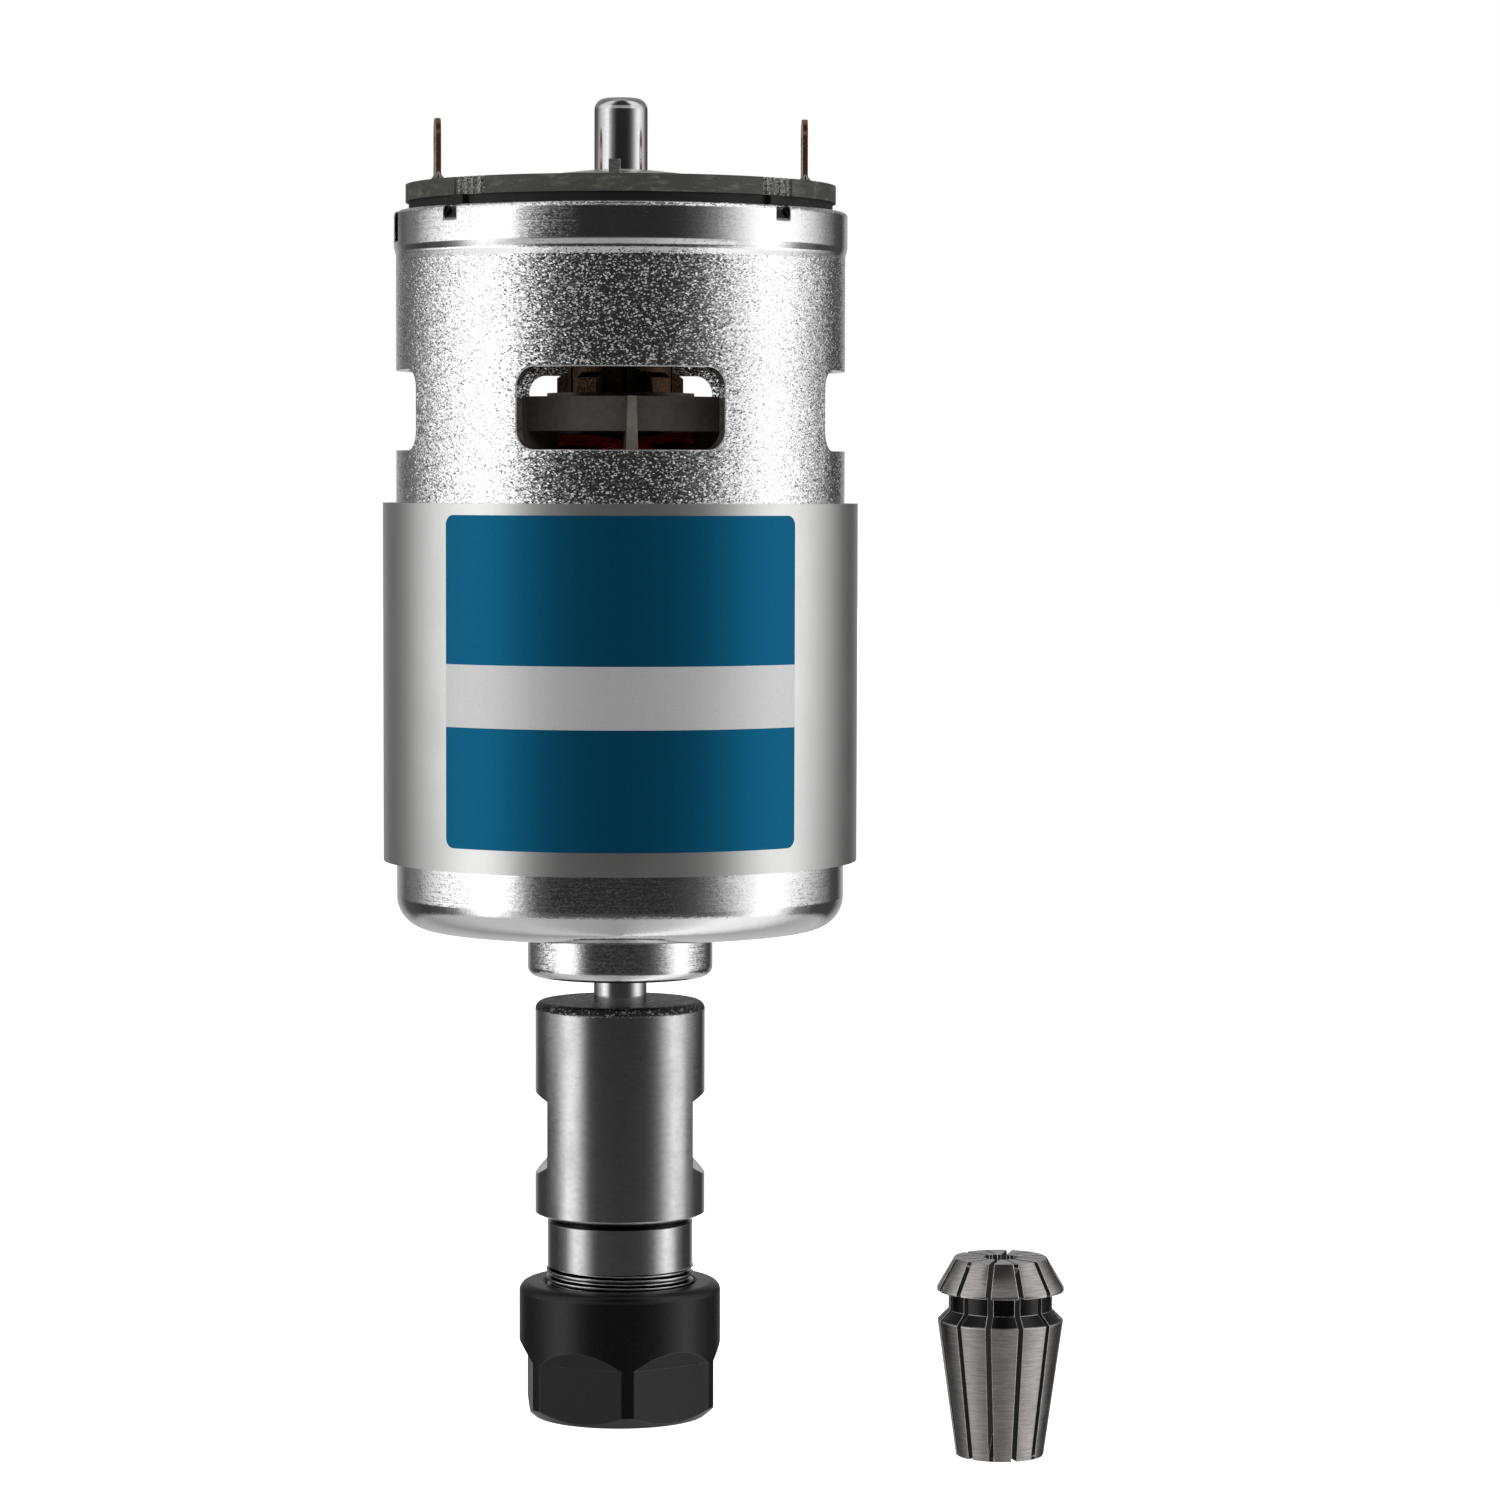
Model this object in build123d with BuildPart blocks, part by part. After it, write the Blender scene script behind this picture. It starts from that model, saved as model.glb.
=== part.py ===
from build123d import *
import math
import os

# The spindle stands upright: its shaft axis is Z, and z = 0 is the outer front face of the motor can.
# The rear end with the circuit board is up, the collet nut is down, and -Y is the labelled front side.

# Fits shared by many pieces
seat_gap = 0.01
running_gap = 0.04
slip_gap = 0.05

# Shaft
shaft_radius = 2.5
shaft_stub = 6.73
shaft_end_space = 2.05
shaft_tip_edge = 1.1
shaft_foot_edge = 0.4

# Motor can: a drawn steel cup, open at the rear
can_radius = 21.0
can_wall = 1.15
can_floor = 1.2
can_length = 66.9
can_corner = 3.0
rim_band_height = 3.3
rim_band_step = 0.2
rim_band_slope = 0.8
boss_wall = 0.71
boss_height = 4.6
boss_floor = 0.8
boss_edge = 0.9
boss_hole_gap = 0.9

# Openings of the can
window_count = 4
window_drop = 14.75
window_height = 7.45
window_spread = 53.2
window_corner = 1.8
crimp_angles = (43, 137, 223, 314)
crimp_width = 1.8
crimp_height = 1.5
crimp_depth = 0.9
notch_angle = 9.4
notch_width = 3.3
notch_depth = 2.9
bolt_spacing = 29.0
bolt_tap_radius = 1.65
vent_count = 4
vent_circle = 13.6
vent_width = 3.6
vent_spread = 36.0

# Flux ring: a rolled sleeve round the can, with a butt seam at the back
sleeve_bottom = 6.4
sleeve_window_gap = 4.85
sleeve_wall = 1.2
sleeve_seam = 0.4

# Magnets and the clips that spread them apart
magnet_bottom = 6.65
magnet_window_gap = 3.05
magnet_thickness = 4.45
magnet_spread = 130.0
clip_inset = 6.5
clip_thickness = 0.5
clip_leg = 3.2

# Armature core
core_inset = 2.75
air_gap = 0.42
core_hub_radius = 6.2
shoe_thickness = 1.7
tooth_width = 4.6
slot_count = 5
slot_mouth = 2.2
insulator_thickness = 0.5

# Windings
winding_gap = 0.12
coil_front_reach = 5.9
coil_rear_reach = 6.1
coil_edge = 1.93
coil_neck_build = 3.3
coil_shoulder = 2.3
coil_slope = 1.5
coil_outer_round = 1.2
coil_neck_round = 0.9

# Fan: a hub, a plate, a rim and straight radial blades with a moulding draft
fan_window_rise = 4.9
fan_rim_wall = 1.0
fan_rim_height = 3.15
fan_plate = 1.0
fan_hub_radius = 6.9
fan_hub_rise = 0.5
fan_hub_height = 4.3
blade_count = 9
blade_angle = -86.6
blade_inner_radius = 10.2
blade_can_gap = 2.35
blade_overhang = 2.5
blade_height = 6.0
blade_root_thickness = 1.17
blade_draft = 1.8

# Commutator
commutator_radius = 4.9
bar_thickness = 1.0
bar_length = 11.0
bar_slot = 0.5
bar_slot_angle = -86.5
hook_width = 2.1
hook_height = 1.9
hook_reach = 1.0
collar_height = 0.9

# Ball bearings
front_bearing_width = 5.0
front_bearing_radius = 8.0
front_ball_radius = 1.5
front_ball_count = 7
rear_bearing_width = 4.0
rear_bearing_radius = 6.5
rear_ball_radius = 1.1
rear_ball_count = 9
rear_bearing_rise = 1.0
front_ring_land = 1.65
rear_ring_land = 1.2
shield_thickness = 0.25
shield_step = 0.3
shield_gap = 0.1
groove_gap = 0.03
pocket_gap = 0.06
cage_wall = 0.35

# End bell: the moulded plate that closes the can and holds the brush gear
bell_plate = 3.0
bell_skirt_wall = 1.6
bell_skirt_depth = 8.5
bell_rim_inset = 0.5
lug_width = 1.6
lug_reach = 0.55
lug_height = 0.9

# Rear bearing cap, with a slightly coned top
cap_headroom = 1.47
cap_crown = 0.5
cap_hole_gap = 0.4
cap_wall = 0.6
cap_shoulder = 1.5
cap_flange_reach = 2.0
cap_flange = 0.6

# Circuit board with break-off marks on its edge
board_inset = 0.9
board_thickness = 1.6
bite_count = 5
bite_pitch = 0.85
bite_radius = 0.25
bite_angles = (44, 136, 226.8, 315.2)

# Terminals
terminal_inset = 1.05
terminal_thickness = 0.5
terminal_width = 4.75
terminal_rise = 6.25
terminal_eye_radius = 0.9
terminal_twist = 5.0
terminal_gap = 0.1

# Pin and chip capacitors on the board
pin_x = -0.6
pin_offset = 1.49
pin_width = 1.1
pin_thickness = 0.6
pin_rise = 2.0
capacitor_length = 3.2
capacitor_width = 1.6
capacitor_height = 1.2
capacitor_y = 11.5
capacitor_pitch = 6.0
capacitor_count = 3

# Brush gear, on the X axis
brush_rise = 7.3
brush_width = 4.0
brush_depth = 5.0
brush_length = 7.0
brush_slip = 0.08
brush_face_gap = 0.05
box_wall = 0.5
box_end_gap = 0.2
box_commutator_gap = 1.4
box_seat_width = 8.0
spring_radius = 1.5
spring_wire_radius = 0.18
spring_turns = 5

# Collet chuck
chuck_radius = 8.0
chuck_gap = 2.4
chuck_length = 35.0
chuck_top_edge = 0.75
body_length = 20.55
body_end_slope = 0.55
neck_radius = 6.85
relief_length = 0.35
relief_depth = 0.25
neck_length = 4.55
nose_radius = 6.95
nose_chamfer = 0.45
socket_mouth_radius = 5.5
socket_depth = 15.0
taper_half_angle = 8.0
flat_cut = 1.175
flat_drop = 9.15
flat_length = 6.2
flat_slope_top = 0.6
flat_slope_bottom = 1.0
screw_drop = 5.2
screw_turns = (169, 79)
screw_radius = 1.95
screw_recess = 1.2
screw_key = 2.0
screw_key_depth = 1.8

# Collet nut
thread_shown = 1.5
nut_nose_reach = 4.25
nut_radius = 9.5
nut_flat_cut = 1.0
nut_edge = 0.9
nut_corner_angle = 4.4
nut_round_length = 5.55
flat_shoulder_drop = 1.55
nut_foot_step = 1.35
nut_foot_slope = 1.15
nut_mouth_chamfer = 0.3
nut_face_depth = 3.9
nut_hole_radius = 4.35
nut_hole_land = 0.5
nut_cone_radius = 5.9
cone_half_angle = 30.0

# Spring collet, standing beside the spindle with its small end down
collet_x = 34.5
collet_y = -20.0
collet_length = 18.0
collet_radius = 5.75
collet_face_radius = 4.2
collet_land = 0.3
collet_groove_radius = 4.7
collet_groove_length = 1.7
collet_slope = 1.0
collet_bore_radius = 1.5875
collet_relief_radius = 2.3
collet_relief_depth = 5.0
collet_slot_pairs = 6
collet_slot_width = 0.5
collet_slot_angle = -103.0
collet_slot_stop = 3.0

# Places and sizes that follow from the values above
can_inner = can_radius - can_wall
boss_radius = front_bearing_radius + seat_gap + boss_wall
window_bottom = can_length - window_drop - window_height
band_radius = can_radius + rim_band_step
band_bottom = can_length - rim_band_height
sleeve_inner = can_radius + slip_gap
sleeve_radius = sleeve_inner + sleeve_wall
sleeve_length = window_bottom - sleeve_window_gap - sleeve_bottom
magnet_length = window_bottom - magnet_window_gap - magnet_bottom
magnet_outer = can_inner - slip_gap
magnet_inner = magnet_outer - magnet_thickness
core_radius = magnet_inner - air_gap
core_bottom = magnet_bottom + core_inset
core_length = magnet_length - 2 * core_inset
core_top = core_bottom + core_length
coil_outer_radius = core_radius - coil_edge
coil_neck_radius = core_hub_radius + coil_neck_build
coil_bottom = core_bottom - insulator_thickness - coil_front_reach
coil_top = core_top + insulator_thickness + coil_rear_reach
fan_top = window_bottom + fan_window_rise
hub_top = fan_top + fan_hub_rise
blade_outer_radius = can_inner - blade_can_gap
fan_rim_radius = blade_outer_radius - blade_overhang
bore_radius = shaft_radius + seat_gap
front_bearing_bottom = boss_floor - boss_height
front_bearing_top = front_bearing_bottom + front_bearing_width
board_bottom = can_length + lug_height
rear_bearing_top = board_bottom + rear_bearing_rise
rear_bearing_bottom = rear_bearing_top - rear_bearing_width
bell_radius = can_inner - slip_gap
bell_bottom = board_bottom - bell_plate
cap_inner = rear_bearing_radius + seat_gap
cap_radius = cap_inner + cap_wall
cap_top = rear_bearing_top + cap_headroom + cap_wall
shaft_tip = cap_top + shaft_stub
board_top = board_bottom + board_thickness
board_radius = can_radius - board_inset
terminal_x = bell_radius - bell_skirt_wall - terminal_inset
terminal_top = board_top + terminal_rise
pin_y = -(cap_radius + pin_offset)
pin_top = board_top + pin_rise
chuck_top = -boss_height - chuck_gap
flat_distance = chuck_radius - flat_cut
flat_top = chuck_top - flat_drop
flat_bottom = flat_top - flat_length
screw_z = chuck_top - screw_drop
nose_end = chuck_top - chuck_length
shaft_foot = nose_end + socket_depth + shaft_end_space
body_end = chuck_top - body_length
neck_end = body_end - neck_length
nut_top = neck_end - thread_shown
nut_bottom = nose_end - nut_nose_reach
nut_inner = nose_radius + 2 * running_gap
nut_foot_radius = nut_radius - nut_foot_step
brush_height = hub_top + brush_rise
box_inner_end = commutator_radius + box_commutator_gap
box_outer_end = terminal_x - terminal_thickness / 2
brush_inner = commutator_radius + brush_face_gap
brush_tail = brush_inner + brush_length
box_half_height = brush_depth / 2 + brush_slip + box_wall


def half_plane(angle):
    """The plane through the Z axis whose sketch x points outward at this angle and whose y is up."""
    turn = math.radians(angle)
    outward = (math.cos(turn), math.sin(turn), 0)
    return Plane(origin=(0, 0, 0), x_dir=outward, z_dir=(math.sin(turn), -math.cos(turn), 0))


def rings(part, radius, height):
    """The circular edges of a part at one radius and one height."""
    circles = part.edges().filter_by(GeomType.CIRCLE)
    return circles.filter_by(
        lambda edge: abs(edge.radius - radius) < seat_gap and abs(edge.arc_center.Z - height) < seat_gap
    )


def tube(inner, outer, bottom, top):
    """A plain round tube on the shaft axis."""
    with BuildPart() as body:
        with BuildSketch(Plane.XY.offset(bottom)):
            Circle(outer)
            Circle(inner, mode=Mode.SUBTRACT)
        extrude(amount=top - bottom)
    return body.part


def arc_block(inner, outer, bottom, top, spread):
    """Part of a tube, centred on the X axis and spread over an angle."""
    with BuildPart() as body:
        with BuildSketch(half_plane(-spread / 2)):
            with Locations(((inner + outer) / 2, (bottom + top) / 2)):
                Rectangle(outer - inner, top - bottom)
        revolve(axis=Axis.Z, revolution_arc=spread)
    return body.part


def save(part, name):
    """Label a finished piece and write it under its own name."""
    part.label = name
    export_step(part, f"parts/{name}.step")


os.makedirs("parts", exist_ok=True)

# Motor can: drawn shell first, then its windows, vents, bolt holes, crimps and key notches
window = arc_block(
    can_inner - can_wall,
    can_radius + can_wall,
    window_bottom,
    window_bottom + window_height,
    window_spread,
)
with BuildPart() as window_cutter:
    add(window)
    straight_edges = window_cutter.edges().filter_by(GeomType.LINE)
    fillet(straight_edges.filter_by(Axis.Z, reverse=True), radius=window_corner)

vent_arc = CenterArc((0, 0), vent_circle, -vent_spread / 2, vent_spread)

with BuildPart() as motor_can:
    with BuildSketch(Plane.XZ):
        with BuildLine():
            Polyline(
                (shaft_radius + boss_hole_gap, -boss_height),
                (boss_radius, -boss_height),
                (boss_radius, 0),
                (can_radius, 0),
                (can_radius, band_bottom - rim_band_slope),
                (band_radius, band_bottom),
                (band_radius, can_length),
                (can_inner, can_length),
                (can_inner, can_floor),
                (front_bearing_radius + seat_gap, can_floor),
                (front_bearing_radius + seat_gap, front_bearing_bottom),
                (shaft_radius + boss_hole_gap, front_bearing_bottom),
                close=True,
            )
        make_face()
    revolve(axis=Axis.Z)
    fillet(rings(motor_can, can_radius, 0), radius=can_corner)
    fillet(rings(motor_can, can_inner, can_floor), radius=can_corner - can_wall)
    fillet(rings(motor_can, boss_radius, -boss_height), radius=boss_edge)
    fillet(rings(motor_can, boss_radius, 0), radius=boss_edge / 2)
    fillet(rings(motor_can, band_radius, can_length), radius=can_wall / 3)
    with PolarLocations(0, window_count):
        add(window_cutter.part, mode=Mode.SUBTRACT)
    with BuildSketch(Plane.XY):
        with GridLocations(bolt_spacing, 0, 2, 1):
            Circle(bolt_tap_radius)
        with PolarLocations(0, vent_count, start_angle=180 / vent_count):
            SlotArc(vent_arc, vent_width)
    extrude(amount=can_floor, mode=Mode.SUBTRACT)
    for crimp_angle in crimp_angles:
        with BuildSketch(half_plane(crimp_angle)):
            with BuildLine():
                Polyline(
                    (band_radius, can_length - crimp_height),
                    (band_radius + crimp_depth, can_length - crimp_height),
                    (band_radius + crimp_depth, can_length + crimp_depth),
                    (band_radius - crimp_depth, can_length + crimp_depth),
                    (band_radius - crimp_depth, can_length),
                    close=True,
                )
            make_face()
        extrude(amount=crimp_width / 2, both=True, mode=Mode.SUBTRACT)
    with Locations((0, 0, can_length)):
        with PolarLocations(can_radius, 2, start_angle=notch_angle):
            Box(4 * can_wall, notch_width, 2 * notch_depth, mode=Mode.SUBTRACT)
save(motor_can.part, "motor_can")

# Flux ring
with BuildPart() as flux_ring:
    with BuildSketch(Plane.XY.offset(sleeve_bottom)):
        Circle(sleeve_radius)
        Circle(sleeve_inner, mode=Mode.SUBTRACT)
        with Locations((0, sleeve_radius)):
            Rectangle(sleeve_seam, 4 * sleeve_wall, mode=Mode.SUBTRACT)
    extrude(amount=sleeve_length)
save(flux_ring.part, "flux_ring")

# Magnets: two arcs, front and back, with their long inner edges eased
magnet_arc = arc_block(
    magnet_inner, magnet_outer, magnet_bottom, magnet_bottom + magnet_length, magnet_spread
)
with BuildPart() as magnet_shape:
    add(magnet_arc)
    long_edges = magnet_shape.edges().filter_by(Axis.Z).sort_by(
        lambda edge: Vector(edge.center().X, edge.center().Y).length
    )
    chamfer(long_edges[:2], length=magnet_thickness / 4)
with BuildPart() as magnets:
    with PolarLocations(0, 2, start_angle=90):
        add(magnet_shape.part)
save(magnets.part, "magnets")

# Magnet clips: sheet steel bent to lie on the can, each leg pushing on one end of a magnet
clip_radius = can_inner - slip_gap - clip_thickness / 2
clip_half_angle = 90 - magnet_spread / 2 - math.degrees((clip_thickness / 2 + slip_gap) / magnet_inner)
with BuildSketch() as clip_profile:
    with BuildLine():
        clip_back = CenterArc((0, 0), clip_radius, -clip_half_angle, 2 * clip_half_angle)
        PolarLine(clip_back @ 0, -clip_leg, -clip_half_angle)
        PolarLine(clip_back @ 1, -clip_leg, clip_half_angle)
    trace(line_width=clip_thickness)
with BuildPart() as magnet_clips:
    with BuildSketch(Plane.XY.offset(magnet_bottom + clip_inset)):
        with PolarLocations(0, 2):
            add(clip_profile.sketch)
    extrude(amount=magnet_length - 2 * clip_inset)
save(magnet_clips.part, "magnet_clips")

# Shaft: one ground bar from the rear tip to inside the chuck
with BuildPart() as shaft:
    with BuildSketch(Plane.XY.offset(shaft_foot)):
        Circle(shaft_radius)
    extrude(amount=shaft_tip - shaft_foot)
    fillet(rings(shaft, shaft_radius, shaft_tip), radius=shaft_tip_edge)
    chamfer(rings(shaft, shaft_radius, shaft_foot), length=shaft_foot_edge)
save(shaft.part, "shaft")

# Armature core: hub, teeth and pole shoes, with a narrow mouth to each slot
tooth_reach = core_radius - shoe_thickness / 2
slot_turn = 360 / slot_count
with BuildSketch() as lamination:
    Circle(core_radius)
    Circle(core_radius - shoe_thickness, mode=Mode.SUBTRACT)
    Circle(core_hub_radius)
    with PolarLocations(tooth_reach / 2, slot_count, start_angle=bar_slot_angle):
        Rectangle(tooth_reach, tooth_width)
    with PolarLocations(core_radius, slot_count, start_angle=bar_slot_angle + slot_turn / 2):
        Rectangle(3 * shoe_thickness, slot_mouth, mode=Mode.SUBTRACT)
    Circle(bore_radius, mode=Mode.SUBTRACT)
with BuildPart() as armature_core:
    with BuildSketch(Plane.XY.offset(core_bottom)):
        add(lamination.sketch)
    extrude(amount=core_length)
save(armature_core.part, "armature_core")

with BuildPart() as end_insulators:
    for insulator_bottom in (core_bottom - insulator_thickness, core_top):
        with BuildSketch(Plane.XY.offset(insulator_bottom)):
            add(lamination.sketch)
        extrude(amount=insulator_thickness)
save(end_insulators.part, "end_insulators")

# Windings: wire bundles that fill the slots and turn over the teeth at both ends
coil_inner = core_hub_radius + winding_gap
with BuildPart() as windings:
    with BuildSketch(Plane.XY.offset(core_bottom - insulator_thickness)):
        Circle(core_radius - shoe_thickness - winding_gap)
        Circle(coil_inner, mode=Mode.SUBTRACT)
        with PolarLocations(tooth_reach / 2, slot_count, start_angle=bar_slot_angle):
            Rectangle(tooth_reach, tooth_width + 2 * winding_gap, mode=Mode.SUBTRACT)
    extrude(amount=core_length + 2 * insulator_thickness)
    with BuildSketch(Plane.XZ):
        with BuildLine():
            rear_base = core_top + insulator_thickness
            Polyline(
                (coil_inner, rear_base),
                (coil_outer_radius, rear_base),
                (coil_outer_radius, rear_base + coil_shoulder),
                (coil_neck_radius, rear_base + coil_shoulder + coil_slope),
                (coil_neck_radius, coil_top),
                (coil_inner, coil_top),
                close=True,
            )
        make_face()
        with BuildLine():
            front_base = core_bottom - insulator_thickness
            Polyline(
                (coil_inner, front_base),
                (coil_outer_radius, front_base),
                (coil_outer_radius, front_base - coil_shoulder),
                (coil_neck_radius, coil_bottom),
                (coil_inner, coil_bottom),
                close=True,
            )
        make_face()
    revolve(axis=Axis.Z)
    fillet(rings(windings, coil_outer_radius, rear_base + coil_shoulder), radius=coil_outer_round)
    fillet(rings(windings, coil_neck_radius, coil_top), radius=coil_neck_round)
    fillet(rings(windings, coil_outer_radius, front_base - coil_shoulder), radius=coil_outer_round)
    fillet(rings(windings, coil_neck_radius, coil_bottom), radius=coil_neck_round)
save(windings.part, "windings")

# Fan
with BuildPart() as fan:
    with BuildSketch(Plane.XZ):
        with BuildLine():
            Polyline(
                (bore_radius, hub_top - fan_hub_height),
                (fan_hub_radius, hub_top - fan_hub_height),
                (fan_hub_radius, fan_top - fan_plate),
                (fan_rim_radius - fan_rim_wall, fan_top - fan_plate),
                (fan_rim_radius - fan_rim_wall, fan_top - fan_rim_height),
                (fan_rim_radius, fan_top - fan_rim_height),
                (fan_rim_radius, fan_top),
                (fan_hub_radius, fan_top),
                (fan_hub_radius, hub_top),
                (bore_radius, hub_top),
                close=True,
            )
        make_face()
    revolve(axis=Axis.Z)
    blade_reach = blade_outer_radius - blade_inner_radius
    blade_middle = (blade_outer_radius + blade_inner_radius) / 2
    with BuildSketch(Plane.XY.offset(fan_top - blade_height)):
        with PolarLocations(blade_middle, blade_count, start_angle=blade_angle):
            Rectangle(blade_reach, blade_root_thickness)
    extrude(amount=blade_height, taper=blade_draft)
save(fan.part, "fan")

# Commutator: a moulded hub with a collar, and copper bars with a wire hook each
bar_inner = commutator_radius - bar_thickness
bar_top = hub_top + bar_length
with BuildPart() as commutator_hub:
    with BuildSketch(Plane.XZ):
        with BuildLine():
            Polyline(
                (bore_radius, hub_top),
                (bar_inner, hub_top),
                (bar_inner, bar_top),
                (commutator_radius, bar_top),
                (commutator_radius, bar_top + collar_height),
                (bore_radius, bar_top + collar_height),
                close=True,
            )
        make_face()
    revolve(axis=Axis.Z)
save(commutator_hub.part, "commutator_hub")

bar_spread = slot_turn - math.degrees(bar_slot / commutator_radius)
bar_arc = arc_block(bar_inner, commutator_radius, hub_top, bar_top, bar_spread)
with BuildPart() as bar:
    add(bar_arc)
    with BuildSketch(Plane.XZ):
        with BuildLine():
            Polyline(
                (commutator_radius - bar_thickness / 2, hub_top),
                (commutator_radius + hook_reach, hub_top),
                (commutator_radius + hook_reach, hub_top + hook_height - hook_reach / 2),
                (commutator_radius + hook_reach / 4, hub_top + hook_height),
                (commutator_radius - bar_thickness / 2, hub_top + hook_height),
                close=True,
            )
        make_face()
    extrude(amount=hook_width / 2, both=True)
with BuildPart() as commutator_bars:
    with PolarLocations(0, slot_count, start_angle=bar_slot_angle + slot_turn / 2):
        add(bar.part)
save(commutator_bars.part, "commutator_bars")

# Spacers that hold the armature between the inner rings of the bearings
front_spacer_radius = shaft_radius + front_ring_land - running_gap
rear_spacer_radius = shaft_radius + rear_ring_land - running_gap
front_spacer_top = core_bottom - insulator_thickness
rear_spacer_bottom = bar_top + collar_height
save(tube(bore_radius, front_spacer_radius, front_bearing_top, front_spacer_top), "front_spacer")
save(tube(bore_radius, rear_spacer_radius, rear_spacer_bottom, rear_bearing_bottom), "rear_spacer")


def make_bearing(name, bottom, width, outer, land, ball_radius, ball_count):
    """Write one shielded deep-groove ball bearing as rings, balls, cage and shields."""
    middle = bottom + width / 2
    pitch = (outer + shaft_radius) / 2
    inner_land = shaft_radius + land
    outer_land = outer - land
    groove_radius = ball_radius + groove_gap
    step_depth = shield_step + shield_thickness
    step_radius = outer_land + (outer - outer_land) / 3

    with BuildPart() as inner_ring:
        add(tube(bore_radius, inner_land, bottom, bottom + width))
        with BuildSketch(Plane.XZ):
            with Locations((pitch, middle)):
                Circle(groove_radius)
        revolve(axis=Axis.Z, mode=Mode.SUBTRACT)
    save(inner_ring.part, f"{name}_inner_ring")

    with BuildPart() as outer_ring:
        add(tube(outer_land, outer, bottom, bottom + width))
        with BuildSketch(Plane.XZ):
            with Locations((pitch, middle)):
                Circle(groove_radius)
            for step_middle in (bottom + step_depth / 2, bottom + width - step_depth / 2):
                with Locations(((outer_land + step_radius) / 2, step_middle)):
                    Rectangle(step_radius - outer_land, step_depth)
        revolve(axis=Axis.Z, mode=Mode.SUBTRACT)
    save(outer_ring.part, f"{name}_outer_ring")

    with BuildPart() as shields:
        for shield_bottom in (bottom + shield_step, bottom + width - shield_step - shield_thickness):
            with BuildSketch(Plane.XY.offset(shield_bottom)):
                Circle(step_radius)
                Circle(inner_land + shield_gap, mode=Mode.SUBTRACT)
            extrude(amount=shield_thickness)
    save(shields.part, f"{name}_shields")

    with BuildPart() as balls:
        with Locations((0, 0, middle)):
            with PolarLocations(pitch, ball_count):
                Sphere(ball_radius)
    save(balls.part, f"{name}_balls")

    cage_bottom = middle - ball_radius - cage_wall
    with BuildPart() as cage:
        with BuildSketch(Plane.XY.offset(cage_bottom)):
            Circle(pitch + ball_radius / 2)
            Circle(pitch - ball_radius / 2, mode=Mode.SUBTRACT)
        extrude(amount=ball_radius + 2 * cage_wall)
        with Locations((0, 0, middle)):
            with PolarLocations(pitch, ball_count):
                Sphere(ball_radius + pocket_gap, mode=Mode.SUBTRACT)
    save(cage.part, f"{name}_cage")


make_bearing(
    "front_bearing",
    front_bearing_bottom,
    front_bearing_width,
    front_bearing_radius,
    front_ring_land,
    front_ball_radius,
    front_ball_count,
)
make_bearing(
    "rear_bearing",
    rear_bearing_bottom,
    rear_bearing_width,
    rear_bearing_radius,
    rear_ring_land,
    rear_ball_radius,
    rear_ball_count,
)

# End bell: plate, skirt, two blocks that carry the brush boxes, keys and lugs
skirt_bottom = bell_bottom - bell_skirt_depth
key_width = notch_width - 2 * slip_gap
terminal_slot = terminal_width + 2 * terminal_gap
block_inner_end = cap_radius + cap_flange_reach + slip_gap
block_length = box_outer_end - block_inner_end
with BuildPart() as end_bell:
    with BuildSketch(Plane.XY.offset(bell_bottom)):
        Circle(bell_radius)
    extrude(amount=bell_plate)
    with BuildSketch(Plane.XY.offset(skirt_bottom)):
        Circle(bell_radius)
        Circle(bell_radius - bell_skirt_wall, mode=Mode.SUBTRACT)
    extrude(amount=bell_skirt_depth)
    with BuildSketch(Plane.XY.offset(brush_height + box_half_height)):
        with PolarLocations((block_inner_end + box_outer_end) / 2, 2):
            Rectangle(block_length, box_seat_width)
    extrude(amount=bell_bottom - brush_height - box_half_height)
    with Locations((0, 0, can_length - notch_depth + slip_gap)):
        with PolarLocations(can_radius - bell_rim_inset - can_wall, 2, start_angle=notch_angle):
            Box(
                2 * can_wall,
                key_width,
                notch_depth,
                align=(Align.CENTER, Align.CENTER, Align.MIN),
            )
    with Locations((0, 0, can_length)):
        for lug_angle in crimp_angles:
            with PolarLocations(bell_radius, 1, start_angle=lug_angle):
                Box(
                    2 * lug_reach,
                    lug_width,
                    board_bottom - can_length,
                    align=(Align.CENTER, Align.CENTER, Align.MIN),
                )
    with BuildSketch(Plane.XY.offset(bell_bottom)):
        Circle(cap_radius + seat_gap)
        with Locations((pin_x, pin_y)):
            Rectangle(pin_width, pin_thickness)
    extrude(amount=bell_plate, mode=Mode.SUBTRACT)
    for side, twist in ((1, 0), (-1, terminal_twist)):
        with Locations(Location((side * terminal_x, 0, bell_bottom), (0, 0, twist))):
            Box(
                terminal_thickness + 2 * terminal_gap,
                terminal_slot,
                4 * bell_plate,
                mode=Mode.SUBTRACT,
            )
save(end_bell.part, "end_bell")

# Rear bearing cap: a drawn cup whose flange lies under the end bell
cap_edge = cap_top - cap_crown
with BuildPart() as rear_bearing_cap:
    with BuildSketch(Plane.XZ):
        with BuildLine():
            Polyline(
                (cap_inner, bell_bottom - cap_flange),
                (cap_radius + cap_flange_reach, bell_bottom - cap_flange),
                (cap_radius + cap_flange_reach, bell_bottom),
                (cap_radius, bell_bottom),
                (cap_radius, cap_edge),
                (shaft_radius + cap_hole_gap, cap_top),
                (shaft_radius + cap_hole_gap, cap_top - cap_wall),
                (cap_inner, cap_edge - cap_wall),
                close=True,
            )
        make_face()
    revolve(axis=Axis.Z)
    fillet(rings(rear_bearing_cap, cap_radius, cap_edge), radius=cap_shoulder)
    fillet(rings(rear_bearing_cap, cap_inner, cap_edge - cap_wall), radius=cap_shoulder - cap_wall)
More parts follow.
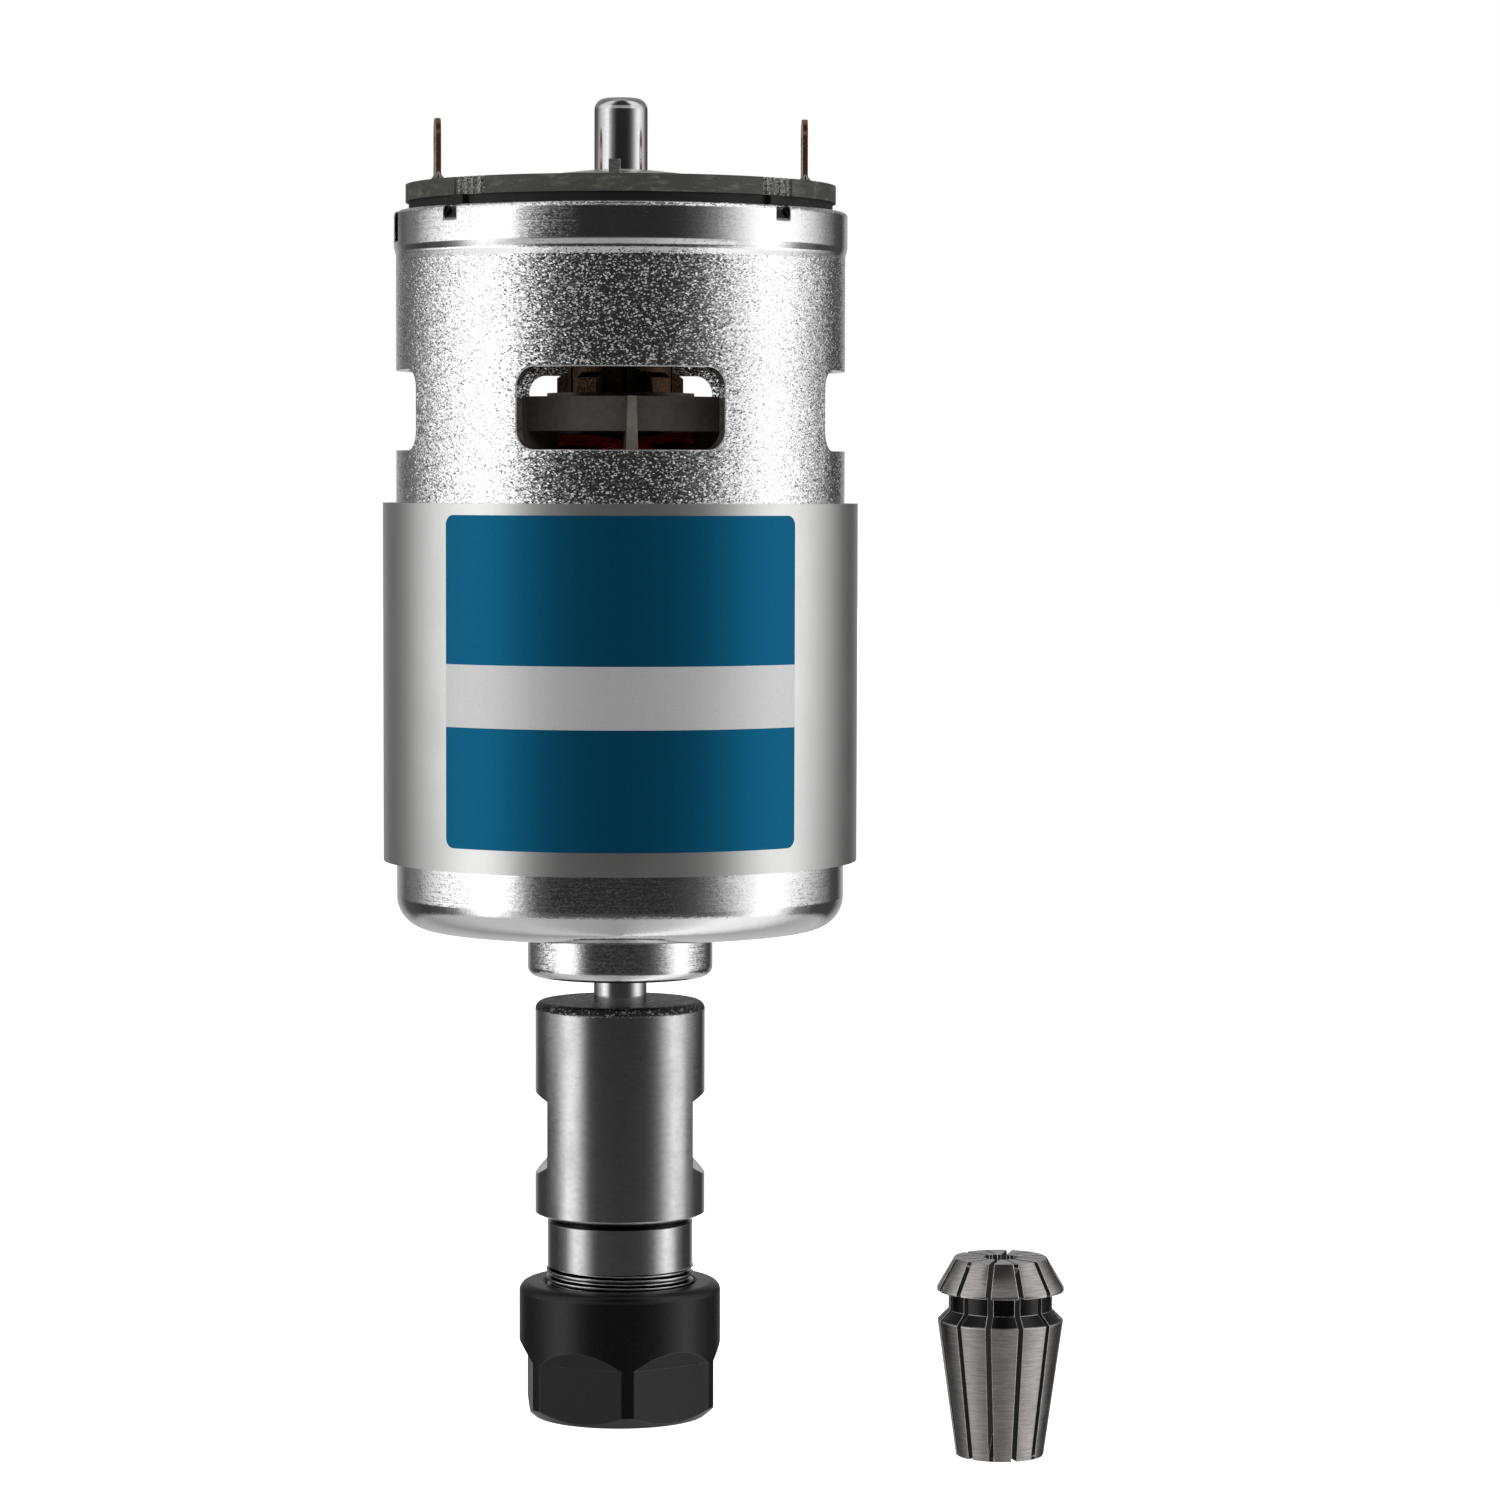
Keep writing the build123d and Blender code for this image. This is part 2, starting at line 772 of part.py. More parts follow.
save(rear_bearing_cap.part, "rear_bearing_cap")

# Circuit board
with BuildPart() as circuit_board:
    with BuildSketch(Plane.XY.offset(board_bottom)):
        Circle(board_radius)
        Circle(cap_radius + slip_gap, mode=Mode.SUBTRACT)
        with Locations((pin_x, pin_y)):
            Rectangle(pin_width + 2 * slip_gap, pin_thickness + 2 * slip_gap, mode=Mode.SUBTRACT)
        for side, twist in ((1, 0), (-1, terminal_twist)):
            with Locations(Location((side * terminal_x, 0, 0), (0, 0, twist))):
                Rectangle(terminal_thickness + 2 * terminal_gap, terminal_slot, mode=Mode.SUBTRACT)
        bite_turn = math.degrees(bite_pitch / board_radius)
        for bite_angle in bite_angles:
            first_bite = bite_angle - bite_turn * (bite_count - 1) / 2
            for bite in range(bite_count):
                with PolarLocations(board_radius, 1, start_angle=first_bite + bite * bite_turn):
                    Circle(bite_radius, mode=Mode.SUBTRACT)
    extrude(amount=board_thickness)
save(circuit_board.part, "circuit_board")

# Terminals: flat blades with an eye, standing on the outer ends of the brush boxes
terminal_foot = brush_height - box_half_height
terminal_height = terminal_top - terminal_foot
with BuildPart() as terminals:
    for side, twist in ((1, 0), (-1, terminal_twist)):
        blade_plane = Plane(
            origin=(side * terminal_x, 0, terminal_foot),
            x_dir=Vector(0, 1, 0).rotate(Axis.Z, twist),
            z_dir=Vector(1, 0, 0).rotate(Axis.Z, twist),
        )
        with BuildSketch(blade_plane) as blade_face:
            with Locations((0, terminal_height / 2)):
                Rectangle(terminal_width, terminal_height)
            fillet(blade_face.vertices().group_by(Axis.Z)[-1], radius=terminal_width / 3)
            with Locations((0, terminal_height - terminal_width / 2)):
                Circle(terminal_eye_radius, mode=Mode.SUBTRACT)
        extrude(amount=terminal_thickness / 2, both=True)
save(terminals.part, "terminals")

# Pin beside the bearing cap, standing on the cap's flange
with BuildPart() as board_pin:
    with BuildSketch(Plane.XY.offset(bell_bottom)):
        with Locations((pin_x, pin_y)):
            Rectangle(pin_width, pin_thickness)
    extrude(amount=pin_top - bell_bottom)
save(board_pin.part, "board_pin")

# Chip capacitors on the board
with BuildPart() as board_capacitors:
    with BuildSketch(Plane.XY.offset(board_top)):
        with Locations((0, capacitor_y)):
            with GridLocations(capacitor_pitch, 0, capacitor_count, 1):
                Rectangle(capacitor_length, capacitor_width)
    extrude(amount=capacitor_height)
save(board_capacitors.part, "board_capacitors")

# Brush boxes: square brass tubes that lie under the end bell's blocks
def brush_gear(side, name):
    """Write the box, brush and spring on one side, where side is 1 for +X and -1 for -X."""
    box_plane = Plane(origin=(side * box_inner_end, 0, brush_height), x_dir=(0, side, 0), z_dir=(side, 0, 0))
    with BuildPart() as box:
        with BuildSketch(box_plane):
            Rectangle(brush_width + 2 * brush_slip + 2 * box_wall, 2 * box_half_height)
            Rectangle(brush_width + 2 * brush_slip, brush_depth + 2 * brush_slip, mode=Mode.SUBTRACT)
        extrude(amount=box_outer_end - box_inner_end - box_end_gap)
    save(box.part, f"{name}_brush_box")

    with BuildPart() as brush:
        with Locations((side * brush_tail / 2, 0, brush_height)):
            Box(brush_tail, brush_width, brush_depth)
        with Locations((0, 0, brush_height)):
            Cylinder(brush_inner, 2 * brush_depth, mode=Mode.SUBTRACT)
    save(brush.part, f"{name}_brush")

    spring_end_space = spring_wire_radius + slip_gap
    spring_start = brush_tail + spring_end_space
    spring_length = box_outer_end - brush_tail - 4 * spring_end_space
    with BuildPart() as spring:
        with BuildLine():
            coil = Helix(
                pitch=spring_length / spring_turns,
                height=spring_length,
                radius=spring_radius,
                center=(side * spring_start, 0, brush_height),
                direction=(side, 0, 0),
            )
        with BuildSketch(Plane(origin=coil @ 0, z_dir=coil % 0)):
            Circle(spring_wire_radius)
        sweep()
    save(spring.part, f"{name}_brush_spring")


brush_gear(1, "right")
brush_gear(-1, "left")

# Collet chuck: body with two flats and a neck, threaded nose, shaft bore and taper socket
socket_end_radius = socket_mouth_radius - socket_depth * math.tan(math.radians(taper_half_angle))
with BuildPart() as chuck:
    with BuildSketch(Plane.XZ):
        with BuildLine():
            Polyline(
                (bore_radius, chuck_top),
                (chuck_radius, chuck_top),
                (chuck_radius, body_end + body_end_slope),
                (neck_radius, body_end),
                (neck_radius - relief_depth, body_end),
                (neck_radius - relief_depth, body_end - relief_length),
                (neck_radius, body_end - relief_length),
                (neck_radius, neck_end),
                (nose_radius, neck_end),
                (nose_radius, nose_end + nose_chamfer),
                (nose_radius - nose_chamfer, nose_end),
                (socket_mouth_radius, nose_end),
                (socket_end_radius, nose_end + socket_depth),
                (bore_radius, nose_end + socket_depth),
                close=True,
            )
        make_face()
    revolve(axis=Axis.Z)
    fillet(rings(chuck, chuck_radius, chuck_top), radius=chuck_top_edge)
    with BuildSketch(Plane.XZ):
        with BuildLine():
            Polyline(
                (flat_distance, flat_bottom),
                (flat_distance, flat_top),
                (flat_distance + 2 * flat_cut, flat_top + 2 * flat_slope_top),
                (flat_distance + 2 * flat_cut, flat_bottom - 2 * flat_slope_bottom),
                close=True,
            )
        make_face()
        mirror(about=Plane.YZ)
    extrude(amount=2 * chuck_radius, both=True, mode=Mode.SUBTRACT)
    for screw_turn in screw_turns:
        screw_side = Vector(1, 0, 0).rotate(Axis.Z, screw_turn)
        with BuildSketch(Plane(origin=(0, 0, screw_z), z_dir=screw_side)):
            Circle(screw_radius + slip_gap / 2)
        extrude(amount=chuck_radius * 2, mode=Mode.SUBTRACT)
save(chuck.part, "chuck")

# Set screws with a hexagon key socket
with BuildPart() as chuck_set_screws:
    for screw_turn in screw_turns:
        screw_side = Vector(1, 0, 0).rotate(Axis.Z, screw_turn)
        screw_axis_point = screw_side * (shaft_radius + seat_gap) + Vector(0, 0, screw_z)
        screw_length = chuck_radius - screw_recess - shaft_radius - seat_gap
        with BuildSketch(Plane(origin=screw_axis_point, z_dir=screw_side)):
            Circle(screw_radius)
        extrude(amount=screw_length)
        screw_head_point = screw_axis_point + screw_side * screw_length
        with BuildSketch(Plane(origin=screw_head_point, z_dir=screw_side)):
            RegularPolygon(screw_key / 2, 6, major_radius=False)
        extrude(amount=-screw_key_depth, mode=Mode.SUBTRACT)
save(chuck_set_screws.part, "chuck_set_screws")

# Collet nut: round above, six flats below with sloped tops, and a face cone inside that pushes the collet in
flat_distance_nut = nut_radius - nut_flat_cut
nut_flat_top = nut_top - nut_round_length - flat_shoulder_drop
nut_flat_height = nut_flat_top - nut_bottom + nut_edge
shoulder_angle = math.degrees(math.atan(nut_flat_cut / flat_shoulder_drop))
with BuildPart() as flat_cutter:
    with BuildSketch(Plane(origin=(flat_distance_nut, 0, 0), x_dir=(0, 1, 0), z_dir=(1, 0, 0))):
        with Locations((0, nut_flat_top - nut_flat_height / 2)):
            Rectangle(2 * flat_distance_nut, nut_flat_height)
    extrude(amount=2 * nut_flat_cut, taper=-(90 - shoulder_angle))

cone_height = (nut_cone_radius - nut_hole_radius) / math.tan(math.radians(cone_half_angle))
with BuildPart() as collet_nut:
    with BuildSketch(Plane.XZ):
        with BuildLine():
            Polyline(
                (nut_inner + nut_mouth_chamfer, nut_top),
                (nut_radius, nut_top),
                (nut_radius, nut_bottom + nut_foot_slope),
                (nut_foot_radius, nut_bottom),
                (nut_hole_radius, nut_bottom),
                (nut_hole_radius, nut_bottom + nut_hole_land),
                (nut_cone_radius, nut_bottom + nut_hole_land + cone_height),
                (nut_cone_radius, nut_bottom + nut_face_depth),
                (nut_inner, nut_bottom + nut_face_depth),
                (nut_inner, nut_top - nut_mouth_chamfer),
                close=True,
            )
        make_face()
    revolve(axis=Axis.Z)
    fillet(rings(collet_nut, nut_radius, nut_top), radius=nut_edge)
    with PolarLocations(0, 6, start_angle=nut_corner_angle):
        add(flat_cutter.part, mode=Mode.SUBTRACT)
save(collet_nut.part, "collet_nut")

# Spring collet: face cone, groove, long taper and slots cut from both ends in turn
face_cone_height = (collet_radius - collet_face_radius) / math.tan(math.radians(cone_half_angle))
groove_top = collet_length - face_cone_height - collet_land
groove_foot = groove_top - collet_groove_length
taper_top = groove_foot - collet_slope
taper_top_radius = collet_groove_radius + collet_slope
tail_radius = taper_top_radius - taper_top * math.tan(math.radians(taper_half_angle))
collet_base = Plane(origin=(collet_x, collet_y, nut_bottom))
collet_section = Plane(origin=(collet_x, collet_y, nut_bottom), x_dir=(1, 0, 0), z_dir=(0, -1, 0))
with BuildPart() as collet:
    with BuildSketch(collet_section):
        with BuildLine():
            Polyline(
                (collet_relief_radius, 0),
                (tail_radius, 0),
                (taper_top_radius, taper_top),
                (collet_groove_radius, groove_foot),
                (collet_groove_radius, groove_top),
                (collet_radius, groove_top),
                (collet_radius, groove_top + collet_land),
                (collet_face_radius, collet_length),
                (collet_bore_radius, collet_length),
                (collet_bore_radius, collet_relief_depth),
                (collet_relief_radius, collet_relief_depth),
                close=True,
            )
        make_face()
    revolve(axis=Axis((collet_x, collet_y, 0), (0, 0, 1)))
    slot_reach = 2 * collet_radius
    slot_length = collet_length - collet_slot_stop
    slot_step = 180 / collet_slot_pairs
    with BuildSketch(collet_base.offset(collet_slot_stop)):
        with PolarLocations(slot_reach / 2, collet_slot_pairs, start_angle=collet_slot_angle):
            Rectangle(slot_reach, collet_slot_width)
    extrude(amount=slot_length, mode=Mode.SUBTRACT)
    with BuildSketch(collet_base):
        with PolarLocations(slot_reach / 2, collet_slot_pairs, start_angle=collet_slot_angle + slot_step):
            Rectangle(slot_reach, collet_slot_width)
    extrude(amount=slot_length - collet_slot_stop / 2, mode=Mode.SUBTRACT)
save(collet.part, "collet")
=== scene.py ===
"""Dresses the motor spindle: its metals, plastics, windings, screw thread and printed label."""
import logging
import math
from dataclasses import dataclass
from enum import Enum

import bmesh
import bpy
import numpy as np
from mathutils import Euler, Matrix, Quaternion, Vector


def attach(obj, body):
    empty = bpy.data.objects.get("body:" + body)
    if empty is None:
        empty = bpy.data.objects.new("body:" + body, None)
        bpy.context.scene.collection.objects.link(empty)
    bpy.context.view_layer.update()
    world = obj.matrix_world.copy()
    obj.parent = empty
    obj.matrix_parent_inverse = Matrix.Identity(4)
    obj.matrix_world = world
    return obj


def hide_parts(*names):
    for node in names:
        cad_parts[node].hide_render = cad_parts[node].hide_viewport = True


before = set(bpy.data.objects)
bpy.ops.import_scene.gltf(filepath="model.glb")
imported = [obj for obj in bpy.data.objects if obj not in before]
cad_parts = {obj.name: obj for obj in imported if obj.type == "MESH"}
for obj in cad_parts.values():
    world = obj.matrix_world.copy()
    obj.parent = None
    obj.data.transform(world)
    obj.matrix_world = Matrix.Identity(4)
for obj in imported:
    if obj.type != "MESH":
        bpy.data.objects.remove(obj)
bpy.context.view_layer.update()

log = logging.getLogger("spindle")
MM = 0.001
Triple = tuple[float, float, float]
Stops = tuple[tuple[float, float], ...]
Socket = bpy.types.NodeSocket


class Grain(Enum):
    """How the tool or the plating has marked a metal surface.

    Each is the scale of the marks' pattern along x, y and z, its number of finer steps and their share:
    crystals of the plating, lines round the shaft's axis, lines along it, and fine even pits.
    """

    SPANGLE = ((1.0, 1.0, 1.3), 4, 0.65)
    ROUND = ((0.06, 0.06, 1.0), 3, 0.7)
    LENGTH = ((1.0, 1.0, 0.04), 3, 0.7)
    BLASTED = ((1.0, 1.0, 1.0), 2, 0.6)


class Graph:
    """A node material under construction, with short calls for the nodes that the finishes share."""

    def __init__(self, name: str) -> None:
        """Start an empty node material with an output."""
        self.material = bpy.data.materials.new(name)
        self.open(self.material, "ShaderNodeOutputMaterial")

    def open(self, owner: bpy.types.ID, output: str) -> None:
        """Empty the nodes of a material or world, and give it an output.

        Args:
            owner: the material or world.
            output: type of the output node.
        """
        owner.use_nodes = True
        self.tree = owner.node_tree
        self.tree.nodes.clear()
        self.output = self.tree.nodes.new(output)

    def feed(self, socket: Socket, value: object) -> None:
        """Link an input to a socket, or set it to a plain value.

        Args:
            socket: the input.
            value: the socket or plain value.
        """
        if isinstance(value, Socket):
            self.tree.links.new(value, socket)
        else:
            socket.default_value = value

    def node(
        self, kind: str, inputs: dict | None = None, output: int | str = 0, **settings: object
    ) -> Socket:
        """Add a node.

        Args:
            kind: type of the node.
            inputs: sockets or plain values, by the name or number of the input.
            output: name or number of the output that is wanted.
            settings: the node's own settings.

        Returns:
            The socket of that output.
        """
        node = self.tree.nodes.new(kind)
        for name, setting in settings.items():
            setattr(node, name, setting)
        for key, value in (inputs or {}).items():
            self.feed(node.inputs[key], value)
        return node.outputs[output]

    def math(self, operation: str, *values: object) -> Socket:
        """One sum on numbers or sockets."""
        return self.node("ShaderNodeMath", dict(enumerate(values)), operation=operation)

    def times(self, first: object, second: object) -> Socket:
        """Two numbers or sockets multiplied."""
        return self.math("MULTIPLY", first, second)

    def plus(self, first: object, second: object) -> Socket:
        """Two numbers or sockets added."""
        return self.math("ADD", first, second)

    def between(self, value: object, low: float, high: float) -> Socket:
        """1 where a value lies between two limits, and 0 elsewhere."""
        return self.times(self.math("GREATER_THAN", value, low), self.math("LESS_THAN", value, high))

    def reach(self, x: object, y: object) -> Socket:
        """The length of a step of x and y."""
        return self.math("SQRT", self.plus(self.times(x, x), self.times(y, y)))

    def point(self, scale: Triple = (1, 1, 1)) -> Socket:
        """Object coordinates in millimetres, with each axis multiplied by its scale."""
        place = self.node("ShaderNodeTexCoord", output="Object")
        return self.node("ShaderNodeMapping", {"Vector": place, "Scale": tuple(s / MM for s in scale)})

    def split(self, vector: Socket) -> tuple[Socket, ...]:
        """The x, y and z of a vector, as three sockets."""
        return tuple(self.node("ShaderNodeSeparateXYZ", {0: vector}).node.outputs)

    def axes(self) -> tuple[Socket, ...]:
        """The x, y and z of Object coordinates in millimetres, as three sockets."""
        return self.split(self.point())

    def normal(self) -> Socket:
        """The surface's own direction."""
        return self.node("ShaderNodeNewGeometry", output="Normal")

    def noise(
        self, scale: float, detail: float = 2, rough: float = 0.5, stretch: Triple = (1, 1, 1)
    ) -> Socket:
        """Smooth random values from 0 to 1, with so many marks in a millimetre and finer ones over them."""
        inputs = {"Vector": self.point(stretch), "Scale": scale, "Detail": detail, "Roughness": rough}
        return self.node("ShaderNodeTexNoise", inputs, "Fac")

    def spread(
        self, value: object, low: float, high: float, to_low: float = 0.0, to_high: float = 1.0,
        **settings: str,
    ) -> Socket:
        """A value carried from one range to another, held at the ends."""
        inputs = dict(enumerate((value, low, high, to_low, to_high)))
        return self.node("ShaderNodeMapRange", inputs, **settings)

    def blend(self, share: object, first: object, second: object) -> Socket:
        """Two colours or sockets, mixed by the share of the second."""
        first, second = (c if isinstance(c, Socket) else (*c, 1) for c in (first, second))
        return self.node("ShaderNodeMix", {0: share, 6: first, 7: second}, 2, data_type="RGBA")

    def stain(
        self, colour: object, other: object, mask: object, low: float, high: float, share: float
    ) -> Socket:
        """A colour with a share of another laid over it as a mask rises from low to high."""
        return self.blend(self.spread(mask, low, high, 0.0, share), colour, other)

    def vector(self, operation: str, *values: object, output: int = 0) -> Socket:
        """One sum on vectors or sockets; output 1 is the number of a dot product."""
        return self.node("ShaderNodeVectorMath", dict(enumerate(values)), output, operation=operation)

    def scaled(self, vector: object, share: object) -> Socket:
        """A vector made longer or shorter by a share."""
        return self.node("ShaderNodeVectorMath", {0: vector, "Scale": share}, operation="SCALE")

    def facets(self, vector: object, scale: float, tilt: float, base: object, share: object) -> Socket:
        """Tilt a normal at random, cell by cell, as flat crystals are tilted.

        The tilt is the cube of an even random value, so most cells lean little and a few lean far.

        Args:
            vector: the place.
            scale: cells in a unit of the place.
            tilt: how far the cells lean.
            base: the normal that is tilted.
            share: share of the tilt that is used.

        Returns:
            The socket of the new normal.
        """
        cells = self.node("ShaderNodeTexVoronoi", {"Vector": vector, "Scale": scale}, "Color")
        even = self.vector("SUBTRACT", cells, (0.5, 0.5, 0.5))
        lean = self.vector("MULTIPLY", self.vector("MULTIPLY", even, even), even)
        lean = self.scaled(lean, self.times(share, 4 * tilt))
        return self.vector("NORMALIZE", self.vector("ADD", base, lean))

    def eased(self, radius: float) -> tuple[Socket, Socket]:
        """Round the edges off in the shading.

        Args:
            radius: radius of the edges, in millimetres.

        Returns:
            The sockets of the normal and of a mask that is 1 on the edges.
        """
        rounded = self.node("ShaderNodeBevel", {"Radius": radius * MM}, samples=6)
        match = self.vector("DOT_PRODUCT", rounded, self.normal(), output=1)
        return rounded, self.spread(match, 0.995, 0.9)

    def bump(self, height: object, depth: float, base: object = None, share: object = 1.0) -> Socket:
        """A normal, bent by heights from 0 to 1 that stand for a depth in millimetres, times a share."""
        inputs = {"Strength": share, "Distance": depth * MM, "Height": height}
        return self.node("ShaderNodeBump", inputs if base is None else {**inputs, "Normal": base})

    def finish(self, **values: object) -> bpy.types.Material:
        """Put the values into a Principled shader and close the material.

        Args:
            values: sockets, colours or numbers, by the shader's inputs.

        Returns:
            The material.
        """
        inputs = {
            name.replace("_", " "): (*value, 1) if isinstance(value, tuple) else value
            for name, value in values.items()
        }
        self.feed(self.output.inputs["Surface"], self.node("ShaderNodeBsdfPrincipled", inputs))
        return self.material


@dataclass(frozen=True)
class Metal:
    """A bare or plated metal finish.

    Args:
        name: name of the material.
        colour: linear base colour.
        roughness: mean roughness of the surface.
        grain: how the surface is marked.
        grain_size: size of one mark in millimetres.
        relief: height of the marks in millimetres.
        stain: share of the tarnish in the stains.
        tarnish: linear colour of the stains.
        rough_spread: how far the roughness wanders.
        edge: radius in millimetres to which the edges look eased, or 0 for none.
        wear: linear colour that shows on the worn edges.
    """

    name: str
    colour: Triple
    roughness: float
    grain: Grain
    grain_size: float = 0.2
    relief: float = 0.002
    stain: float = 0.2
    tarnish: Triple = (0.25, 0.24, 0.23)
    rough_spread: float = 0.08
    edge: float = 0.0
    wear: Triple = (0.6, 0.6, 0.6)

    def material(self) -> bpy.types.Material:
        """Make the metal, with its grain, cloudy stains and, where an edge is given, worn edges.

        Returns:
            The node material.
        """
        graph = Graph(self.name)
        stretch, detail, coarse = self.grain.value
        marks = graph.noise(1 / self.grain_size, detail, coarse, stretch)
        clouds = graph.noise(0.16, 4, 0.6)
        colour = graph.stain(self.colour, self.tarnish, clouds, 0.35, 0.75, self.stain)
        colour = graph.stain(colour, self.tarnish, marks, 0.3, 0.75, 0.3)
        low = self.roughness - self.rough_spread
        high = self.roughness + self.rough_spread
        rough = graph.spread(graph.plus(clouds, marks), 0.7, 1.3, low, high)
        base = None
        if self.edge:
            base, rim = graph.eased(self.edge)
            worn = graph.times(rim, graph.spread(graph.noise(1.5, 3), 0.35, 0.65, 0.2, 1.0))
            colour = graph.blend(worn, colour, self.wear)
        return graph.finish(
            Base_Color=colour,
            Metallic=1.0,
            Roughness=rough,
            Normal=graph.bump(marks, self.relief, base),
        )


@dataclass(frozen=True)
class Moulding:
    """A plastic, ceramic, enamel or other dull finish.

    Args:
        name: name of the material.
        colour: linear base colour.
        shade: linear colour of its darker flecks.
        roughness: mean roughness.
        grain_size: size of the flecks in millimetres.
        relief: height of the texture in millimetres.
        metallic: share of metal in the look.
    """

    name: str
    colour: Triple
    shade: Triple
    roughness: float
    grain_size: float = 0.3
    relief: float = 0.004
    metallic: float = 0.0

    def material(self) -> bpy.types.Material:
        """Make the dull surface, with its flecks and clouds.

        Returns:
            The node material.
        """
        graph = Graph(self.name)
        flecks = graph.noise(1 / self.grain_size, 3, 0.6)
        clouds = graph.noise(0.25, 3, 0.6)
        share = graph.spread(graph.plus(flecks, clouds), 0.75, 1.25)
        return graph.finish(
            Base_Color=graph.blend(share, self.colour, self.shade),
            Metallic=self.metallic,
            Roughness=graph.spread(clouds, 0.3, 0.7, self.roughness - 0.06, self.roughness + 0.08),
            Normal=graph.bump(flecks, self.relief),
        )


@dataclass(frozen=True)
class PlatedCan:
    """The can's zinc plate: crystals on the wall, a drawn rim band, a rough sheared lip, and painted shade
    inside the crimps.

    Args:
        colour: linear colour of the plate.
        tarnish: linear colour of its duller stains.
        cut: linear colour of the painted shade inside the crimps.
        roughness: mean roughness.
        crystal: width of one crystal in millimetres.
        tilt: how far the crystals lean; 1 is up to about 27 degrees, with most far less.
        relief: height of the waves under the crystals, in millimetres.
        band_foot: height at which the rim band starts.
        band_radius: outside radius of the band.
        step: height of the step under the band.
        lip: height at which the sheared lip starts.
        foot: height under which the drawing has smoothed the plate.
    """

    colour: Triple = (0.88, 0.88, 0.89)
    tarnish: Triple = (0.6, 0.6, 0.61)
    cut: Triple = (0.1, 0.1, 0.1)
    roughness: float = 0.09
    crystal: float = 0.155
    tilt: float = 0.42
    relief: float = 0.006
    band_foot: float = 63.1
    band_radius: float = 21.2
    step: float = 0.9
    lip: float = 66.45
    foot: float = 9.0

    def material(self) -> bpy.types.Material:
        """Make the plate.

        Returns:
            The node material.
        """
        graph = Graph("can_plate")
        x, y, height = graph.axes()
        radius = graph.reach(x, y)
        step_foot = self.band_foot - self.step
        on_wall = graph.spread(height, self.band_foot, step_foot)
        on_lip = graph.spread(height, self.lip, self.lip + 0.12)
        sunk = graph.spread(radius, self.band_radius - 0.12, self.band_radius - 0.2)
        crimp_shade = graph.times(sunk, graph.between(height, self.band_foot, self.lip + 0.3))
        waves = graph.noise(1.6, 2, 0.6, (1.0, 1.0, 1.25))
        streaks = graph.noise(3.5, 3, 0.6, (0.05, 0.05, 1.0))
        clouds = graph.noise(0.12, 4, 0.6)
        colour = graph.stain(self.colour, self.tarnish, clouds, 0.45, 0.8, 0.35)
        # Painted shade: faces sunk inside the crimps are coloured dark.
        colour = graph.blend(crimp_shade, colour, self.cut)
        edge, rim = graph.eased(0.2)
        drawn = graph.bump(streaks, 0.005, edge)
        waved = graph.bump(waves, self.relief, drawn, on_wall)
        smooth = graph.times(on_wall, graph.spread(height, self.foot - 1, self.foot))
        lean = graph.plus(graph.spread(smooth, 0.0, 1.0, 0.12, 1.0), graph.times(on_lip, 1.1))
        on_step = graph.times(graph.spread(height, self.band_foot, self.band_foot - 0.15),
                              graph.spread(height, step_foot, step_foot + 0.15))
        # The step's eased edges turn it upward a little, to the light there.
        upright = graph.vector("ADD", waved, graph.scaled((0.0, 0.0, 0.2), on_step))
        rough = graph.spread(clouds, 0.3, 0.7, self.roughness - 0.02, self.roughness + 0.04)
        return graph.finish(
            Base_Color=colour,
            Metallic=1.0,
            Roughness=graph.plus(rough, graph.times(rim, 0.25)),
            Normal=graph.facets(graph.point((1.0, 1.0, 1.45)), 1 / self.crystal, self.tilt, upright, lean),
        )


@dataclass(frozen=True)
class Laminate:
    """The circuit board's laminate under a dark green coat, with torn fibres at its break-off marks.

    Args:
        coat: linear colour of the coat.
        bare: linear colour of the scuffed laminate.
        fibre: linear colour of the torn fibres.
        marks: angles of the break-off marks, in degrees.
        mark_half: half the angle that a mark covers, in degrees.
    """

    coat: Triple = (0.045, 0.045, 0.039)
    bare: Triple = (0.13, 0.125, 0.105)
    fibre: Triple = (0.4, 0.4, 0.37)
    marks: tuple[float, ...] = (44.0, 136.0, -133.2, -44.8)
    mark_half: float = 5.6

    def material(self) -> bpy.types.Material:
        """Make the laminate: thin layers, scuffs, specks and fibres.

        Returns:
            The node material.
        """
        graph = Graph("board_laminate")
        x, y = graph.axes()[:2]
        turn = graph.times(graph.math("ARCTAN2", y, x), 180 / math.pi)
        near = None
        for mark in self.marks:
            away = graph.math("ABSOLUTE", graph.math("SUBTRACT", turn, mark))
            here = graph.spread(away, self.mark_half, self.mark_half - 1.0)
            near = here if near is None else graph.math("MAXIMUM", near, here)
        scuffs = graph.noise(0.8, 4, 0.7, (0.5, 0.5, 1.6))
        specks = graph.noise(5.0, 2, 0.6, (1.0, 1.0, 1.4))
        layers = graph.noise(4.0, 2, 0.5, (0.12, 0.12, 1.0))
        colour = graph.stain(self.coat, self.bare, scuffs, 0.5, 0.72, 0.9)
        colour = graph.stain(colour, self.bare, specks, 0.6, 0.75, 0.55)
        torn = graph.times(near, graph.spread(specks, 0.46, 0.62, 0.0, 0.8))
        colour = graph.blend(torn, colour, self.fibre)
        height_map = graph.plus(graph.times(specks, 0.7), graph.times(layers, 0.5))
        return graph.finish(
            Base_Color=colour,
            Roughness=graph.spread(scuffs, 0.35, 0.7, 0.42, 0.62),
            Specular_IOR_Level=0.35,
            Normal=graph.bump(height_map, 0.06),
        )


